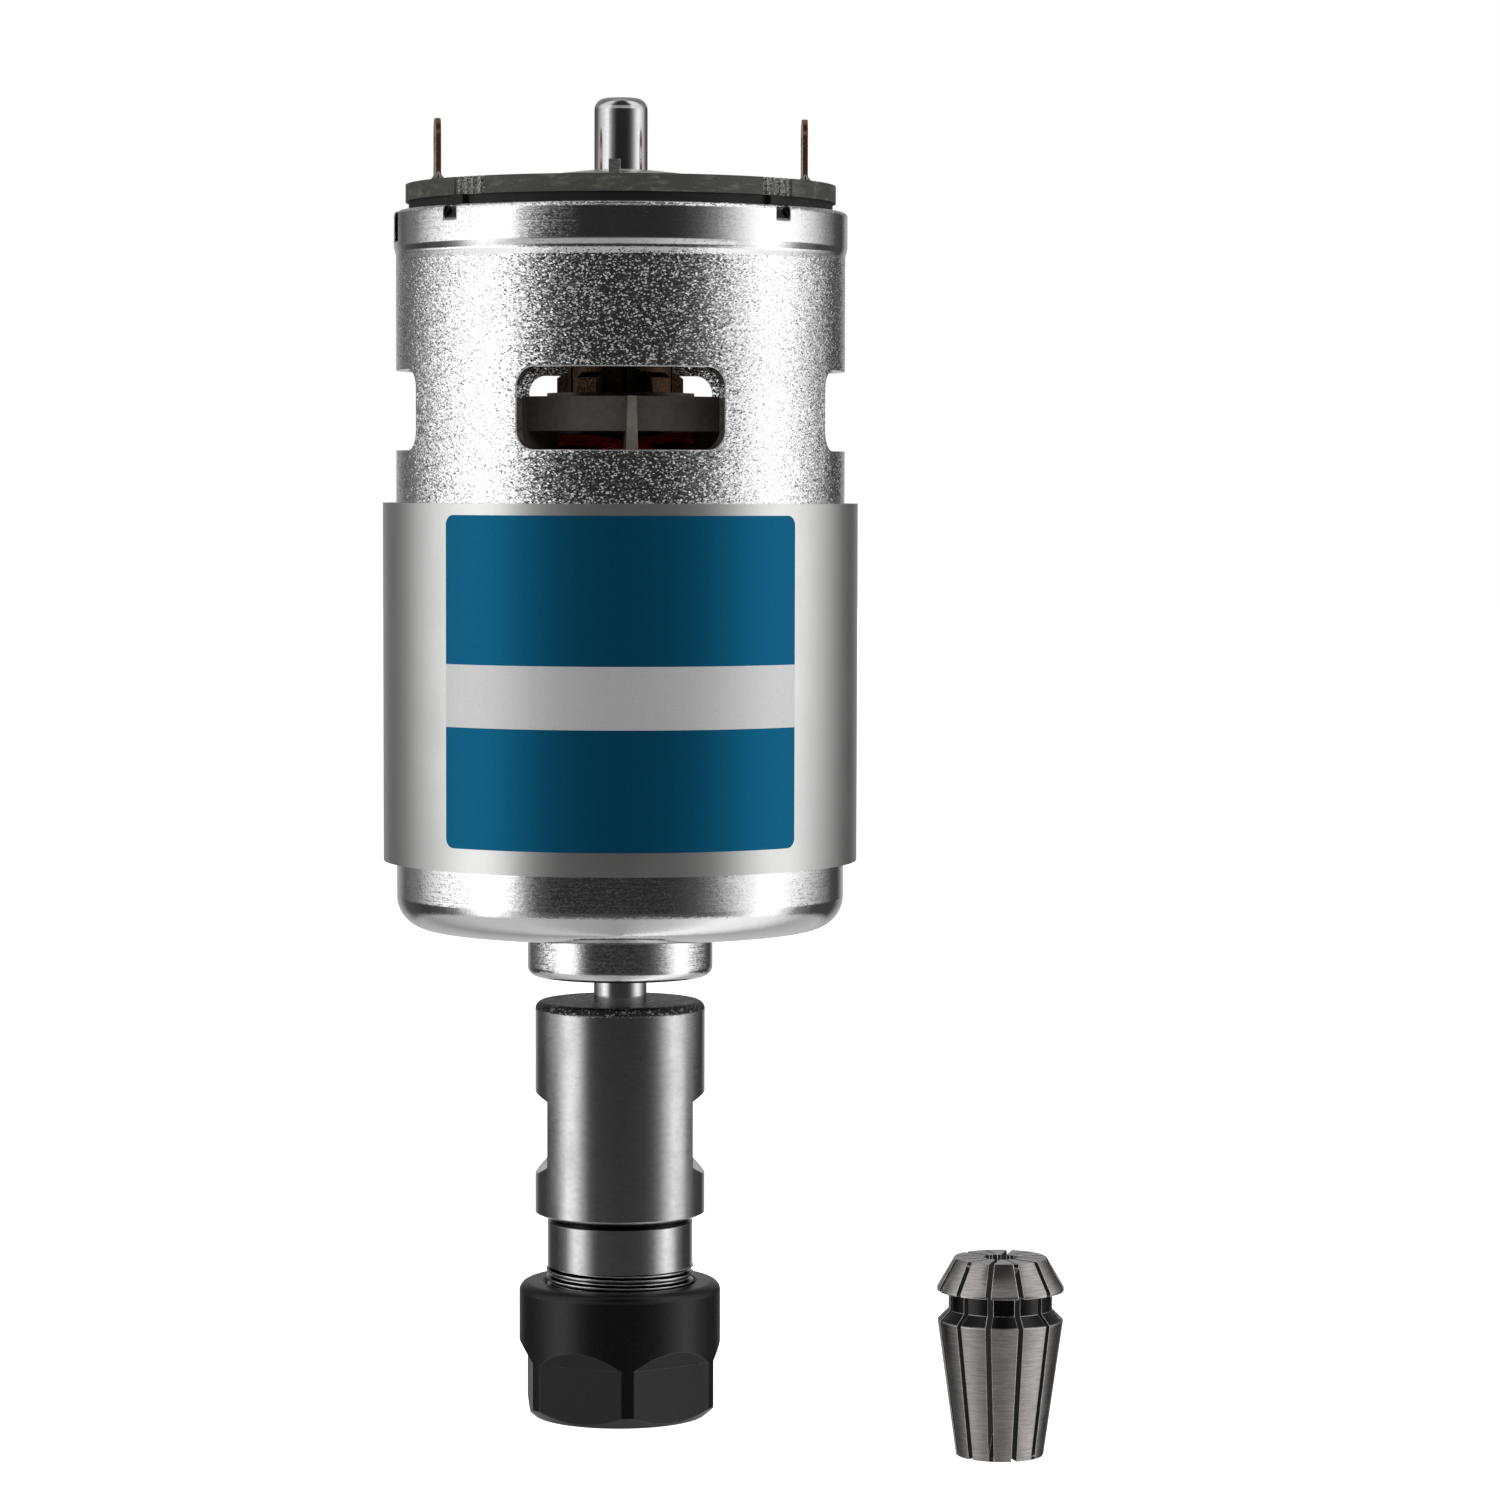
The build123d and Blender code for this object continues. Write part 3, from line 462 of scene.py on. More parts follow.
@dataclass(frozen=True)
class TurnedSteel:
    """The chuck's turned and ground steel, with a blackened sawn end, and painted shade in the corner under
    its body and on its thread's flanks.

    Args:
        colour: linear colour of the steel.
        tarnish: linear colour of its stains.
        black: linear colour of the blackened end.
        roughness: mean roughness.
        end_height: height above which the end is blackened, with a ragged border.
        corner: height of the body's lower end, under which a band of painted shade lies in the corner.
        corner_height: how far down that painted shade reaches.
        thread_top: height at which the thread starts, whose steep flanks get painted shade too.
    """

    colour: Triple = (0.62, 0.62, 0.62)
    tarnish: Triple = (0.36, 0.36, 0.36)
    black: Triple = (0.035, 0.035, 0.035)
    roughness: float = 0.14
    end_height: float = -7.75
    corner: float = -27.5
    corner_height: float = 0.5
    thread_top: float = -32.1

    def material(self) -> bpy.types.Material:
        """Make the steel: lines round the axis, cloudy stains, a few scratches, the black end, painted
        highlights on the edges and painted shade in the corner and on the thread.

        Returns:
            The node material.
        """
        graph = Graph("turned_steel")
        height = graph.axes()[2]
        lines = graph.noise(14.0, 3, 0.7, (0.05, 0.05, 1.0))
        clouds = graph.noise(0.3, 4, 0.65, (1.0, 1.0, 0.7))
        mottle = graph.noise(2.2, 3, 0.6, (0.5, 0.5, 1.0))
        scratch = graph.noise(1.1, 0, 0.5, (2.4, 0.4, 1.1))
        off = graph.math("ABSOLUTE", graph.math("SUBTRACT", scratch, 0.5))
        scratched = graph.times(graph.spread(off, 0.0035, 0.0, 0.0, 0.5),
                                graph.spread(mottle, 0.52, 0.62))
        colour = graph.stain(self.colour, self.tarnish, clouds, 0.4, 0.75, 0.45)
        colour = graph.stain(colour, self.tarnish, mottle, 0.45, 0.75, 0.3)
        colour = graph.blend(scratched, colour, (0.8, 0.8, 0.8))
        edge, rim = graph.eased(0.12)
        # Painted highlight: the eased edges are coloured lighter.
        colour = graph.blend(graph.times(rim, 0.6), colour, (0.7, 0.7, 0.7))
        pits = graph.noise(3.2, 4, 0.7)
        ragged = graph.plus(height, graph.times(pits, 0.5))
        end = graph.spread(ragged, self.end_height + 0.15, self.end_height + 0.3)
        flakes = graph.stain(self.black, (0.4, 0.4, 0.4), pits, 0.56, 0.62, 1.0)
        colour = graph.blend(end, colour, flakes)
        # Painted shade: the band under the body's lower end and the thread's steep flanks are coloured near
        # black.
        corner_shade_foot = self.corner - self.corner_height
        corner_shade = graph.times(graph.math("LESS_THAN", height, self.corner),
                          graph.spread(height, corner_shade_foot, corner_shade_foot + 0.12))
        lean = graph.math("ABSOLUTE", graph.split(graph.normal())[2])
        flank_shade = graph.times(graph.spread(lean, 0.3, 0.6),
                           graph.math("LESS_THAN", height, self.thread_top))
        colour = graph.blend(graph.math("MAXIMUM", corner_shade, flank_shade), colour, (0.012, 0.012, 0.012))
        low, high = self.roughness - 0.03, self.roughness + 0.06
        rough = graph.plus(graph.spread(clouds, 0.3, 0.7, low, high), graph.times(end, 0.25))
        turned = graph.bump(lines, 0.0025, edge)
        return graph.finish(
            Base_Color=colour,
            Metallic=1.0,
            Roughness=rough,
            Normal=graph.bump(pits, 0.12, turned, end),
        )


@dataclass(frozen=True)
class GroundCollet:
    """The collet's warm ground steel, with painted shade in its slots, bore and groove, and painted
    highlights on its edges.

    Args:
        x: place of its axis, in millimetres.
        y: place of its axis.
        colour: linear colour of the ground faces.
        shade: linear colour of their darker lines.
        dark: linear colour of the painted shade in the slots and the bore.
        groove: linear colour of the painted shade in the groove.
        groove_radius: radius below which a face that looks outward lies in the groove.
        groove_foot: height above which the groove and its shoulder lie.
        groove_height: height of both together.
        roughness: mean roughness.
        name: name of the material.
    """

    x: float = 34.5
    y: float = -20.0
    colour: Triple = (0.5, 0.47, 0.46)
    shade: Triple = (0.26, 0.245, 0.24)
    dark: Triple = (0.012, 0.011, 0.011)
    groove: Triple = (0.035, 0.034, 0.034)
    groove_radius: float = 5.6
    groove_foot: float = -34.2
    groove_height: float = 3.1
    roughness: float = 0.24
    name: str = "collet_steel"

    def material(self) -> bpy.types.Material:
        """Make the steel: lines round the axis, painted shade on faces by which way they look from that axis,
        and painted highlights on the edges.

        Returns:
            The node material.
        """
        graph = Graph(self.name)
        x, y, height = graph.axes()
        x, y = graph.math("SUBTRACT", x, self.x), graph.math("SUBTRACT", y, self.y)
        radius = graph.reach(x, y)
        normal = graph.split(graph.normal())
        along = graph.plus(graph.times(x, normal[0]), graph.times(y, normal[1]))
        outward = graph.math("DIVIDE", along, graph.math("MAXIMUM", radius, 0.1))
        shown = graph.math("MAXIMUM", outward, graph.math("ABSOLUTE", normal[2]))
        # Painted shade: faces that look inward, into the slots and the bore, turn near black, dull and not
        # metal.
        inside = graph.spread(shown, 0.35, 0.2)
        groove_shade = graph.times(graph.between(height, self.groove_foot, self.groove_foot + self.groove_height),
                              graph.between(radius, 0.0, self.groove_radius))
        groove_shade = graph.times(groove_shade, graph.math("GREATER_THAN", outward, 0.3))
        lines = graph.noise(9.0, 3, 0.7, (0.06, 0.06, 1.0))
        clouds = graph.noise(0.4, 4, 0.6)
        colour = graph.stain(self.colour, self.shade, lines, 0.35, 0.7, 0.8)
        colour = graph.stain(colour, self.shade, clouds, 0.45, 0.75, 0.4)
        rough = graph.spread(clouds, 0.3, 0.7, self.roughness - 0.04, self.roughness + 0.06)
        edge, rim = graph.eased(0.09)
        # Painted shade in the groove under the head, and on the inward faces.
        colour = graph.blend(groove_shade, colour, self.groove)
        colour = graph.blend(inside, colour, self.dark)
        # Painted highlight: the eased edges are coloured near white.
        colour = graph.blend(rim, colour, (0.9, 0.9, 0.9))
        return graph.finish(
            Base_Color=colour,
            Metallic=graph.math("SUBTRACT", 1.0, inside),
            Roughness=graph.math("MAXIMUM", rough, graph.times(inside, 0.95)),
            Normal=graph.bump(lines, 0.003, edge),
        )


ZINC = Metal("zinc_plate", (0.72, 0.73, 0.74), 0.24, Grain.SPANGLE, 0.28, 0.02, 0.15, edge=0.12)
SLEEVE = Metal(
    "sleeve_steel", (0.77, 0.77, 0.76), 0.31, Grain.BLASTED, 0.14, 0.004, 0.1, (0.6, 0.6, 0.59), 0.03,
)
GROUND = Metal(
    "ground_steel", (0.72, 0.72, 0.72), 0.1, Grain.ROUND, 0.05, 0.001, 0.1, (0.35, 0.35, 0.35), 0.04, 0.1,
)
OXIDE = Metal(
    "black_oxide", (0.042, 0.042, 0.043), 0.35, Grain.BLASTED, 0.25, 0.008, 0.4, (0.036, 0.036, 0.037),
    0.06, 0.13, (0.16, 0.16, 0.16),
)
BEARING = Metal("bearing_steel", (0.7, 0.7, 0.71), 0.15, Grain.ROUND, 0.04, 0.0006, 0.1)
CAGE = Metal("cage_brass", (0.72, 0.5, 0.22), 0.3, Grain.BLASTED, 0.15, 0.002, 0.3)
SPRING = Metal("spring_steel", (0.55, 0.55, 0.56), 0.28, Grain.LENGTH, 0.08, 0.001, 0.2)
BRASS = Metal("brass_sheet", (0.7, 0.53, 0.24), 0.3, Grain.LENGTH, 0.15, 0.002, 0.3)
COPPER = Metal("bare_copper", (0.24, 0.15, 0.09), 0.35, Grain.BLASTED, 0.22, 0.1, 0.7, (0.06, 0.042, 0.03))
BRONZE = Metal(
    "terminal_bronze", (0.42, 0.22, 0.1), 0.3, Grain.LENGTH, 0.2, 0.01, 0.5, (0.1, 0.055, 0.032), edge=0.08,
)
SOLDER = Metal("solder", (0.4, 0.38, 0.36), 0.26, Grain.BLASTED, 0.4, 0.08, 0.5, (0.1, 0.08, 0.06))
CORE = Metal("core_steel", (0.12, 0.12, 0.13), 0.45, Grain.ROUND, 0.5, 0.02, 0.3)
WIRE = Moulding("wire_enamel", (1.0, 0.11, 0.04), (0.8, 0.07, 0.03), 0.14, 0.6, 0.002, 0.1)
FERRITE = Moulding("magnet_ferrite", (0.045, 0.045, 0.05), (0.02, 0.02, 0.022), 0.6, 0.4, 0.01)
COATING = Moulding("green_coating", (0.03, 0.14, 0.08), (0.02, 0.09, 0.05), 0.4, 0.5, 0.01)
PHENOLIC = Moulding("brown_moulding", (0.07, 0.045, 0.03), (0.03, 0.02, 0.015), 0.45, 0.4, 0.01)
FAN_GREY = Moulding("grey_plastic", (0.165, 0.145, 0.125), (0.12, 0.105, 0.092), 0.36, 0.5, 0.004)
BLACK = Moulding("black_plastic", (0.006, 0.006, 0.006), (0.004, 0.004, 0.004), 0.6, 0.4, 0.004)
CARBON = Moulding("brush_carbon", (0.03, 0.03, 0.03), (0.015, 0.015, 0.015), 0.5, 0.2, 0.008, 0.3)
CHIP = Moulding("chip_ceramic", (0.35, 0.24, 0.14), (0.28, 0.18, 0.1), 0.35, 0.3, 0.002)
ENAMEL = Moulding("enamelled_copper", (0.16, 0.016, 0.01), (0.03, 0.004, 0.003), 0.25, 0.5, 0.03, 0.3)

NODE_FINISHES = {
    ZINC: ("rear_bearing_cap", "board_pin"),
    SLEEVE: ("flux_ring",),
    GROUND: ("shaft", "front_spacer", "rear_spacer"),
    OXIDE: ("collet_nut", "chuck_set_screws"),
    BEARING: tuple(
        f"{end}_bearing_{piece}"
        for end in ("front", "rear")
        for piece in ("inner_ring", "outer_ring", "shields", "balls")
    ),
    CAGE: ("front_bearing_cage", "rear_bearing_cage"),
    SPRING: ("magnet_clips", "left_brush_spring", "right_brush_spring"),
    BRASS: ("left_brush_box", "right_brush_box"),
    COPPER: ("commutator_bars",),
    BRONZE: ("terminals",),
    CORE: ("armature_core",),
    FERRITE: ("magnets",),
    COATING: ("end_insulators",),
    PHENOLIC: ("commutator_hub",),
    FAN_GREY: ("fan",),
    BLACK: ("end_bell",),
    CARBON: ("left_brush", "right_brush"),
    CHIP: ("board_capacitors",),
    ENAMEL: ("windings",),
    PlatedCan(): ("motor_can",),
    Laminate(): ("circuit_board",),
    TurnedSteel(): ("chuck",),
    GroundCollet(): ("collet",),
}


def dress(piece: bpy.types.Object, material: bpy.types.Material) -> None:
    """Give a piece one material."""
    piece.data.materials.clear()
    piece.data.materials.append(material)


def link(name: str, data: bpy.types.ID) -> bpy.types.Object:
    """Make an object for a mesh, lamp or camera, and put it into the scene.

    Args:
        name: name of the object.
        data: what it shows.

    Returns:
        The object.
    """
    item = bpy.data.objects.new(name, data)
    bpy.context.scene.collection.objects.link(item)
    return item


def skins(name: str, points: np.ndarray, closed_rows: bool = False, capped: bool = True) -> bpy.types.Object:
    """Make closed skins of quads, from grids of points whose columns run round a section, as one object.

    Args:
        name: name of the piece.
        points: array of skins x rows x columns x 3, in millimetres; the last column joins the first.
        closed_rows: whether the last row of each joins its first.
        capped: whether the first and last rows of each are closed with a face.

    Returns:
        The linked object, with its faces outward.
    """
    count, rows, columns = points.shape[:3]
    row = np.arange(rows if closed_rows else rows - 1)
    skin, r, c = np.meshgrid(np.arange(count), row, np.arange(columns), indexing="ij")
    next_r, next_c = (r + 1) % rows, (c + 1) % columns
    first = skin * rows * columns
    corners = [r * columns + c, r * columns + next_c, next_r * columns + next_c, next_r * columns + c]
    faces = np.stack([(first + corner).ravel() for corner in corners], axis=1).tolist()
    if capped and not closed_rows:
        ring = np.arange(columns)
        starts = np.arange(count)[:, None] * rows * columns
        faces += (starts + ring[::-1]).tolist() + (starts + (rows - 1) * columns + ring).tolist()
    mesh = bpy.data.meshes.new(name)
    mesh.from_pydata((points.reshape(-1, 3) * MM).tolist(), [], faces)
    work = bmesh.new()
    work.from_mesh(mesh)
    bmesh.ops.remove_doubles(work, verts=work.verts, dist=1e-8)
    bmesh.ops.recalc_face_normals(work, faces=work.faces)
    work.to_mesh(mesh)
    work.free()
    mesh.polygons.foreach_set("use_smooth", np.ones(len(mesh.polygons), dtype=bool))
    mesh.set_sharp_from_angle(angle=math.radians(40))
    return link(name, mesh)


def place(piece: bpy.types.Object, body: str, slot: str, material: bpy.types.Material) -> bpy.types.Object:
    """Dress a new piece, and tie it to its body.

    Args:
        piece: the new piece.
        body: the body that carries it.
        slot: not used.
        material: its material.

    Returns:
        The piece.
    """
    dress(piece, material)
    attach(piece, body)
    log.info("%s on %s", piece.name, body)
    return piece


@dataclass
class Label:
    """The printed film on the front of the flux ring, with two blue panels and a silver one between.

    Args:
        ring_radius: outside radius of the flux ring, in millimetres.
        thickness: thickness of the film.
        half_angle: half the angle that it covers, in degrees.
        bottom: height of its lower edge.
        top: height of its upper edge.
        corner: radius of its corners.
        upper_panel: height above which the print is blue.
        lower_panel: height below which it is blue again.
    """

    ring_radius: float = 22.25
    thickness: float = 0.05
    half_angle: float = 45.2
    bottom: float = 8.6
    top: float = 38.8
    corner: float = 0.9
    upper_panel: float = 25.3
    lower_panel: float = 19.6

    def build(self) -> bpy.types.Object:
        """Make the film as a thin closed shell.

        The outline is a rounded rectangle. Rows run from its lower to its upper edge, and columns
        from its left to its right edge, which moves inward near the corners on a quarter circle.

        Returns:
            The film.
        """
        width = self.ring_radius * math.radians(self.half_angle)
        height = (self.top - self.bottom) / 2
        ease = 1 - np.cos(np.linspace(0, np.pi / 2, 9))
        rise = np.concatenate([self.corner * ease, [2 * height - self.corner * e for e in ease[::-1]]])
        into = np.clip(np.minimum(rise, 2 * height - rise) / self.corner, 0, 1)
        half = width - self.corner * (1 - np.sqrt(1 - (1 - into) ** 2))
        across = np.linspace(-1, 1, 97)
        angle = np.outer(half, across) / self.ring_radius
        z = np.repeat((self.bottom + rise)[:, None], len(across), axis=1)
        sheets = []
        for radius in (self.ring_radius + 0.004, self.ring_radius + self.thickness):
            sheets.append(np.stack([radius * np.sin(angle), -radius * np.cos(angle), z], axis=2))
        shell = np.concatenate([sheets[0], sheets[1][:, ::-1]], axis=1)
        return place(skins("printed_label", shell[None]), "housing", "sleeve_steel", self.ink())

    def ink(self) -> bpy.types.Material:
        """Make the print: two blue panels over metallic film and bare silver between them.

        Returns:
            The node material.
        """
        graph = Graph("label_print")
        z = graph.axes()[2]
        printed = graph.math("MAXIMUM", graph.math("GREATER_THAN", z, self.upper_panel),
                             graph.math("LESS_THAN", z, self.lower_panel))
        weave = graph.spread(graph.noise(6.0, 3), 0.3, 0.7)
        blue = graph.blend(weave, (0.007, 0.138, 0.267), (0.009, 0.155, 0.3))
        silver = graph.blend(weave, (0.66, 0.66, 0.66), (0.72, 0.72, 0.72))
        return graph.finish(
            Base_Color=graph.blend(printed, silver, blue),
            Metallic=graph.spread(printed, 0.0, 1.0, 0.75, 1.0),
            Roughness=0.48,
            Specular_IOR_Level=0.25,
            Normal=graph.bump(graph.noise(2.0, 2), 0.004),
        )


def read(
    items: bpy.types.bpy_prop_collection, name: str, each: int = 3, kind: type = np.float32
) -> np.ndarray:
    """Copy a value of every item of a mesh's list.

    Args:
        items: the list.
        name: name of the value.
        each: how many numbers an item has.
        kind: type of the numbers.

    Returns:
        The numbers, in rows of three.
    """
    numbers = np.empty(len(items) * each, dtype=kind)
    items.foreach_get(name, numbers)
    return numbers.reshape(-1, 3)


@dataclass
class ThreadedChuck:
    """The chuck's body as the solid has it, and its nose with a real screw thread.

    Args:
        nose_top: height at which the nose starts.
        nose_end: height of its free end.
        crest_radius: outside radius of the thread.
        thread_depth: depth of its groove.
        pitch: rise of one turn.
        inner_radius: radius of the ring's hidden inner side, inside the nose's wall.
        end_radius: radius at which the end face meets the chamfer.
    """

    nose_top: float = -32.1
    nose_end: float = -42.0
    crest_radius: float = 6.95
    thread_depth: float = 0.4
    pitch: float = 0.75
    inner_radius: float = 6.3
    end_radius: float = 6.5

    def body(self) -> bpy.types.Object:
        """Copy the chuck's triangles, merged, with their own normals but without its nose's plain skin.

        Returns:
            The body.
        """
        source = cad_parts["chuck"].data
        points = read(source.vertices, "co")
        corners = read(source.loops, "vertex_index", 1, np.int32)
        normals = read(source.corner_normals, "vector").reshape(-1, 3, 3)
        outside = np.hypot(points[:, 0], points[:, 1]) > (self.end_radius - 0.005) * MM
        low = points[:, 2] < (self.nose_top + 0.002) * MM
        keep = ~(outside & low)[corners].all(axis=1)
        merged, index = np.unique(np.round(points.astype(float), 7), axis=0, return_inverse=True)
        corners = index.ravel()[corners]
        keep &= (corners != np.roll(corners, 1, axis=1)).all(axis=1)
        mesh = bpy.data.meshes.new("chuck_body")
        mesh.from_pydata(merged.tolist(), [], corners[keep].tolist())
        mesh.normals_split_custom_set(normals[keep].reshape(-1, 3).tolist())
        return link("chuck_body", mesh)

    def thread(self) -> bpy.types.Object:
        """Make the threaded ring.

        Its radius at a height and an angle is the crest radius less a 60 degree groove with a flat
        foot. The groove falls by one pitch over a turn and, at the free end, is held inside the
        chamfer's cone.

        Returns:
            The ring, closed by its hidden inner side.
        """
        z = np.concatenate([np.arange(self.nose_top, self.nose_end, -0.04), [self.nose_end]])[:, None]
        angle = np.linspace(0, 2 * np.pi, 96, endpoint=False)[None]
        travel = (self.nose_top - z) / self.pitch - angle / (2 * np.pi)
        groove = np.clip(1.45 * (1 - np.abs(travel % 1.0 - 0.5) / 0.36), 0, 1)
        radius = self.crest_radius - self.thread_depth * groove
        radius = np.minimum(radius, self.end_radius + (z - self.nose_end))
        z = np.broadcast_to(z, radius.shape)
        inner = np.full_like(radius[:1], self.inner_radius)
        radius = np.concatenate([inner, radius, inner])
        z = np.concatenate([z[:1], z, z[-1:]])
        turn = np.broadcast_to(angle, radius.shape)
        grid = np.stack([radius * np.cos(turn), radius * np.sin(turn), z], axis=2)
        return skins("nose_thread", grid[None], closed_rows=True)

    def build(self) -> None:
        """Make both pieces, which stand for the chuck's solid."""
        finish = TurnedSteel().material()
        body = self.body()
        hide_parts("chuck")
        place(body, "rotor", "turned_steel", finish)
        place(self.thread(), "rotor", "turned_steel", finish)


@dataclass
class SlottedCollet:
    """The spring collet, whose twelve slots start from each end in turn and stop just short of the other end.

    Args:
        x: place of its axis, in millimetres.
        y: place of its axis.
        foot: height of its small end.
        length: height of the collet.
        radius: radius at the head.
        face_radius: radius of the flat face on top.
        land: height of the short straight band under the head's cone.
        groove_radius: radius in the groove.
        groove_length: height of the groove.
        slope: height of the 45 degree shoulder under the groove.
        bore_radius: radius of the bore.
        relief_radius: radius of the wider bore in the small end.
        relief_depth: height of that wider bore.
        face_angle: slope of the head's cone, in degrees from the axis.
        taper_angle: slope of the long taper.
        slots: number of slots.
        slot_width: width of one.
        first_slot: direction of the first slot, which starts from the head, in degrees.
        bridge: what a slot leaves at the far end, on the outside.
        run_out: how much more the round saw leaves on the inside.
    """

    x: float = 34.5
    y: float = -20.0
    foot: float = -46.25
    length: float = 18.0
    radius: float = 5.75
    face_radius: float = 4.2
    land: float = 0.3
    groove_radius: float = 4.7
    groove_length: float = 1.7
    slope: float = 1.0
    bore_radius: float = 1.5875
    relief_radius: float = 2.3
    relief_depth: float = 5.0
    face_angle: float = 30.0
    taper_angle: float = 8.0
    slots: int = 12
    slot_width: float = 0.5
    first_slot: float = -105.5
    bridge: float = 0.35
    run_out: float = 1.9

    def heights(self) -> tuple[float, float]:
        """Find the heights of the groove's upper side and of the long taper's upper end.

        Returns:
            The two heights over the small end.
        """
        cone = (self.radius - self.face_radius) / math.tan(math.radians(self.face_angle))
        top = self.length - cone - self.land
        return top, top - self.groove_length - self.slope

    def outline(self) -> np.ndarray:
        """Lay out the half section, once round from the small end's inner edge.

        Returns:
            The radius and height of each point.
        """
        top, taper_top = self.heights()
        return np.array([
            (self.relief_radius, 0),
            (self.tail_radius(), 0),
            (self.groove_radius + self.slope, taper_top),
            (self.groove_radius, taper_top + self.slope),
            (self.groove_radius, top),
            (self.radius, top),
            (self.radius, top + self.land),
            (self.face_radius, self.length),
            (self.bore_radius, self.length),
            (self.bore_radius, self.relief_depth),
            (self.relief_radius, self.relief_depth),
        ])

    def tail_radius(self) -> float:
        """Outside radius of the small end."""
        return self.groove_radius + self.slope - self.heights()[1] * math.tan(math.radians(self.taper_angle))

    def sweep(self, section: np.ndarray, starts: np.ndarray, span: float, across: np.ndarray) -> np.ndarray:
        """Turn a section round the collet's axis from each start, between straight slot walls.

        At a radius, a slot's wall lies the arcsine of half the width over the radius from the slot's
        middle. A point turns from one wall at across 0 to the other at across 1.

        Args:
            section: radius and height of each point of the section.
            starts: direction of the slot before each piece, in radians.
            span: angle from there to the next slot; 0 fills the slot itself.
            across: shares of the turn at which the rows stand.

        Returns:
            An array of pieces x rows x points x 3, in millimetres.
        """
        radius, height = section[:, 0], section[:, 1]
        wall = np.arcsin(self.slot_width / 2 / radius)
        wall = wall if span else -wall
        turn = starts[:, None, None] + wall + across[None, :, None] * (span - 2 * wall)
        x = self.x + radius * np.cos(turn)
        y = self.y + radius * np.sin(turn)
        return np.stack([x, y, np.broadcast_to(self.foot + height, x.shape)], axis=3)

    def build(self) -> None:
        """Make the segments between the slots and the bridges that join them at the ends."""
        step = 2 * np.pi / self.slots
        starts = math.radians(self.first_slot) + step * np.arange(self.slots)
        across = np.linspace(0, 1, 13)
        finish = GroundCollet(self.x, self.y).material()
        segments = skins("collet_segments", self.sweep(self.outline(), starts, step, across))
        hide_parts("collet")
        place(segments, "collet", "collet_steel", finish)
        lean = self.bridge * math.tan(math.radians(self.taper_angle))
        slant = self.bridge * math.tan(math.radians(self.face_angle))
        tail = np.array([
            (self.relief_radius, 0), (self.tail_radius(), 0),
            (self.tail_radius() + lean, self.bridge), (self.relief_radius, self.bridge + self.run_out),
        ])
        low = self.length - self.bridge
        head = np.array([
            (self.bore_radius, low - self.run_out), (self.face_radius + slant, low),
            (self.face_radius, self.length), (self.bore_radius, self.length),
        ])
        grids = np.concatenate([
            self.sweep(tail, starts[0::2], 0.0, across[::6]),
            self.sweep(head, starts[1::2], 0.0, across[::6]),
        ])
        bridges = skins("collet_bridges", grids)
        # The bridges at the slots' ends are coloured near black: painted shade, so the slots look dark right
        # to their ends.
        colour, shade = (0.03, 0.029, 0.029), (0.02, 0.019, 0.019)
        shaded_ends = GroundCollet(self.x, self.y, colour, shade, name="collet_slot_ends")
        place(bridges, "collet", "collet_steel", shaded_ends.material())
        # The photograph shows the collet as a separate cut-out, so nothing mirrors it.
        segments.visible_glossy = bridges.visible_glossy = False


@dataclass
class WindingWires:
    """The outer wires of the rear winding heads, which lie over the coil bundles under the fan.

    Args:
        coils: number of coils.
        wires: wires shown for each coil.
        wire_radius: radius of one wire.
        foot_radius: distance from the axis at which the wires leave their slots.
        foot_height: height there.
        crown_height: height of the top of the turns.
        crown_radius: distance from the axis at the top of the turns.
        reach: half the angle that a coil spans, in degrees.
        start: angle of the first coil, in degrees.
    """

    coils: int = 5
    wires: int = 9
    wire_radius: float = 0.21
    foot_radius: float = 11.0
    foot_height: float = 42.4
    crown_height: float = 45.95
    crown_radius: float = 9.75
    reach: float = 60.0
    start: float = -86.5

    def build(self) -> bpy.types.Object:
        """Lay the wires.

        A wire starts in one slot, climbs inward on a quarter sine, crosses over the coil and comes
        down in the next slot but one. Its radius falls from the foot to the crown as the sine
        grows, and its height rises the same way. Each wire has a small offset of its own.

        Returns:
            The wires, as one piece.
        """
        rng = np.random.default_rng(775)
        t = np.linspace(0, 1, 26)
        arc = np.sin(np.pi * t) ** 0.55
        total = self.coils * self.wires
        coil = np.repeat(np.arange(self.coils), self.wires)
        layer = np.tile(np.arange(self.wires), self.coils) / self.wires
        middle = np.radians(self.start + 360 / self.coils * (coil + 0.5))[:, None]
        reach = np.radians(self.reach + rng.uniform(-6, 6, total))[:, None]
        turn = middle + reach * (2 * t - 1)[None]
        inward = (self.crown_radius - 0.9 * layer + rng.uniform(-0.25, 0.25, total))[:, None]
        top = (self.crown_height - 0.7 * layer + rng.uniform(-0.1, 0.35, total))[:, None]
        wander = 0.16 * np.sin(2 * np.pi * (t[None] * 1.6 + rng.uniform(0, 1, total)[:, None]))
        radius = self.foot_radius + (inward - self.foot_radius) * arc[None] + wander
        z = self.foot_height + (top - self.foot_height) * arc[None] ** 0.8
        path = np.stack([radius * np.cos(turn), radius * np.sin(turn), z], axis=2)
        along = np.gradient(path, axis=1)
        along /= np.linalg.norm(along, axis=2, keepdims=True)
        side = np.cross(along, np.array([0.0, 0.0, 1.0]))
        side /= np.linalg.norm(side, axis=2, keepdims=True)
        up = np.cross(side, along)
        around = np.linspace(0, 2 * np.pi, 8, endpoint=False)
        ring = np.cos(around)[:, None] * side[:, :, None] + np.sin(around)[:, None] * up[:, :, None]
        tubes = path[:, :, None] + self.wire_radius * ring
        return place(skins("winding_wires", tubes), "rotor", "enamelled_copper", WIRE.material())


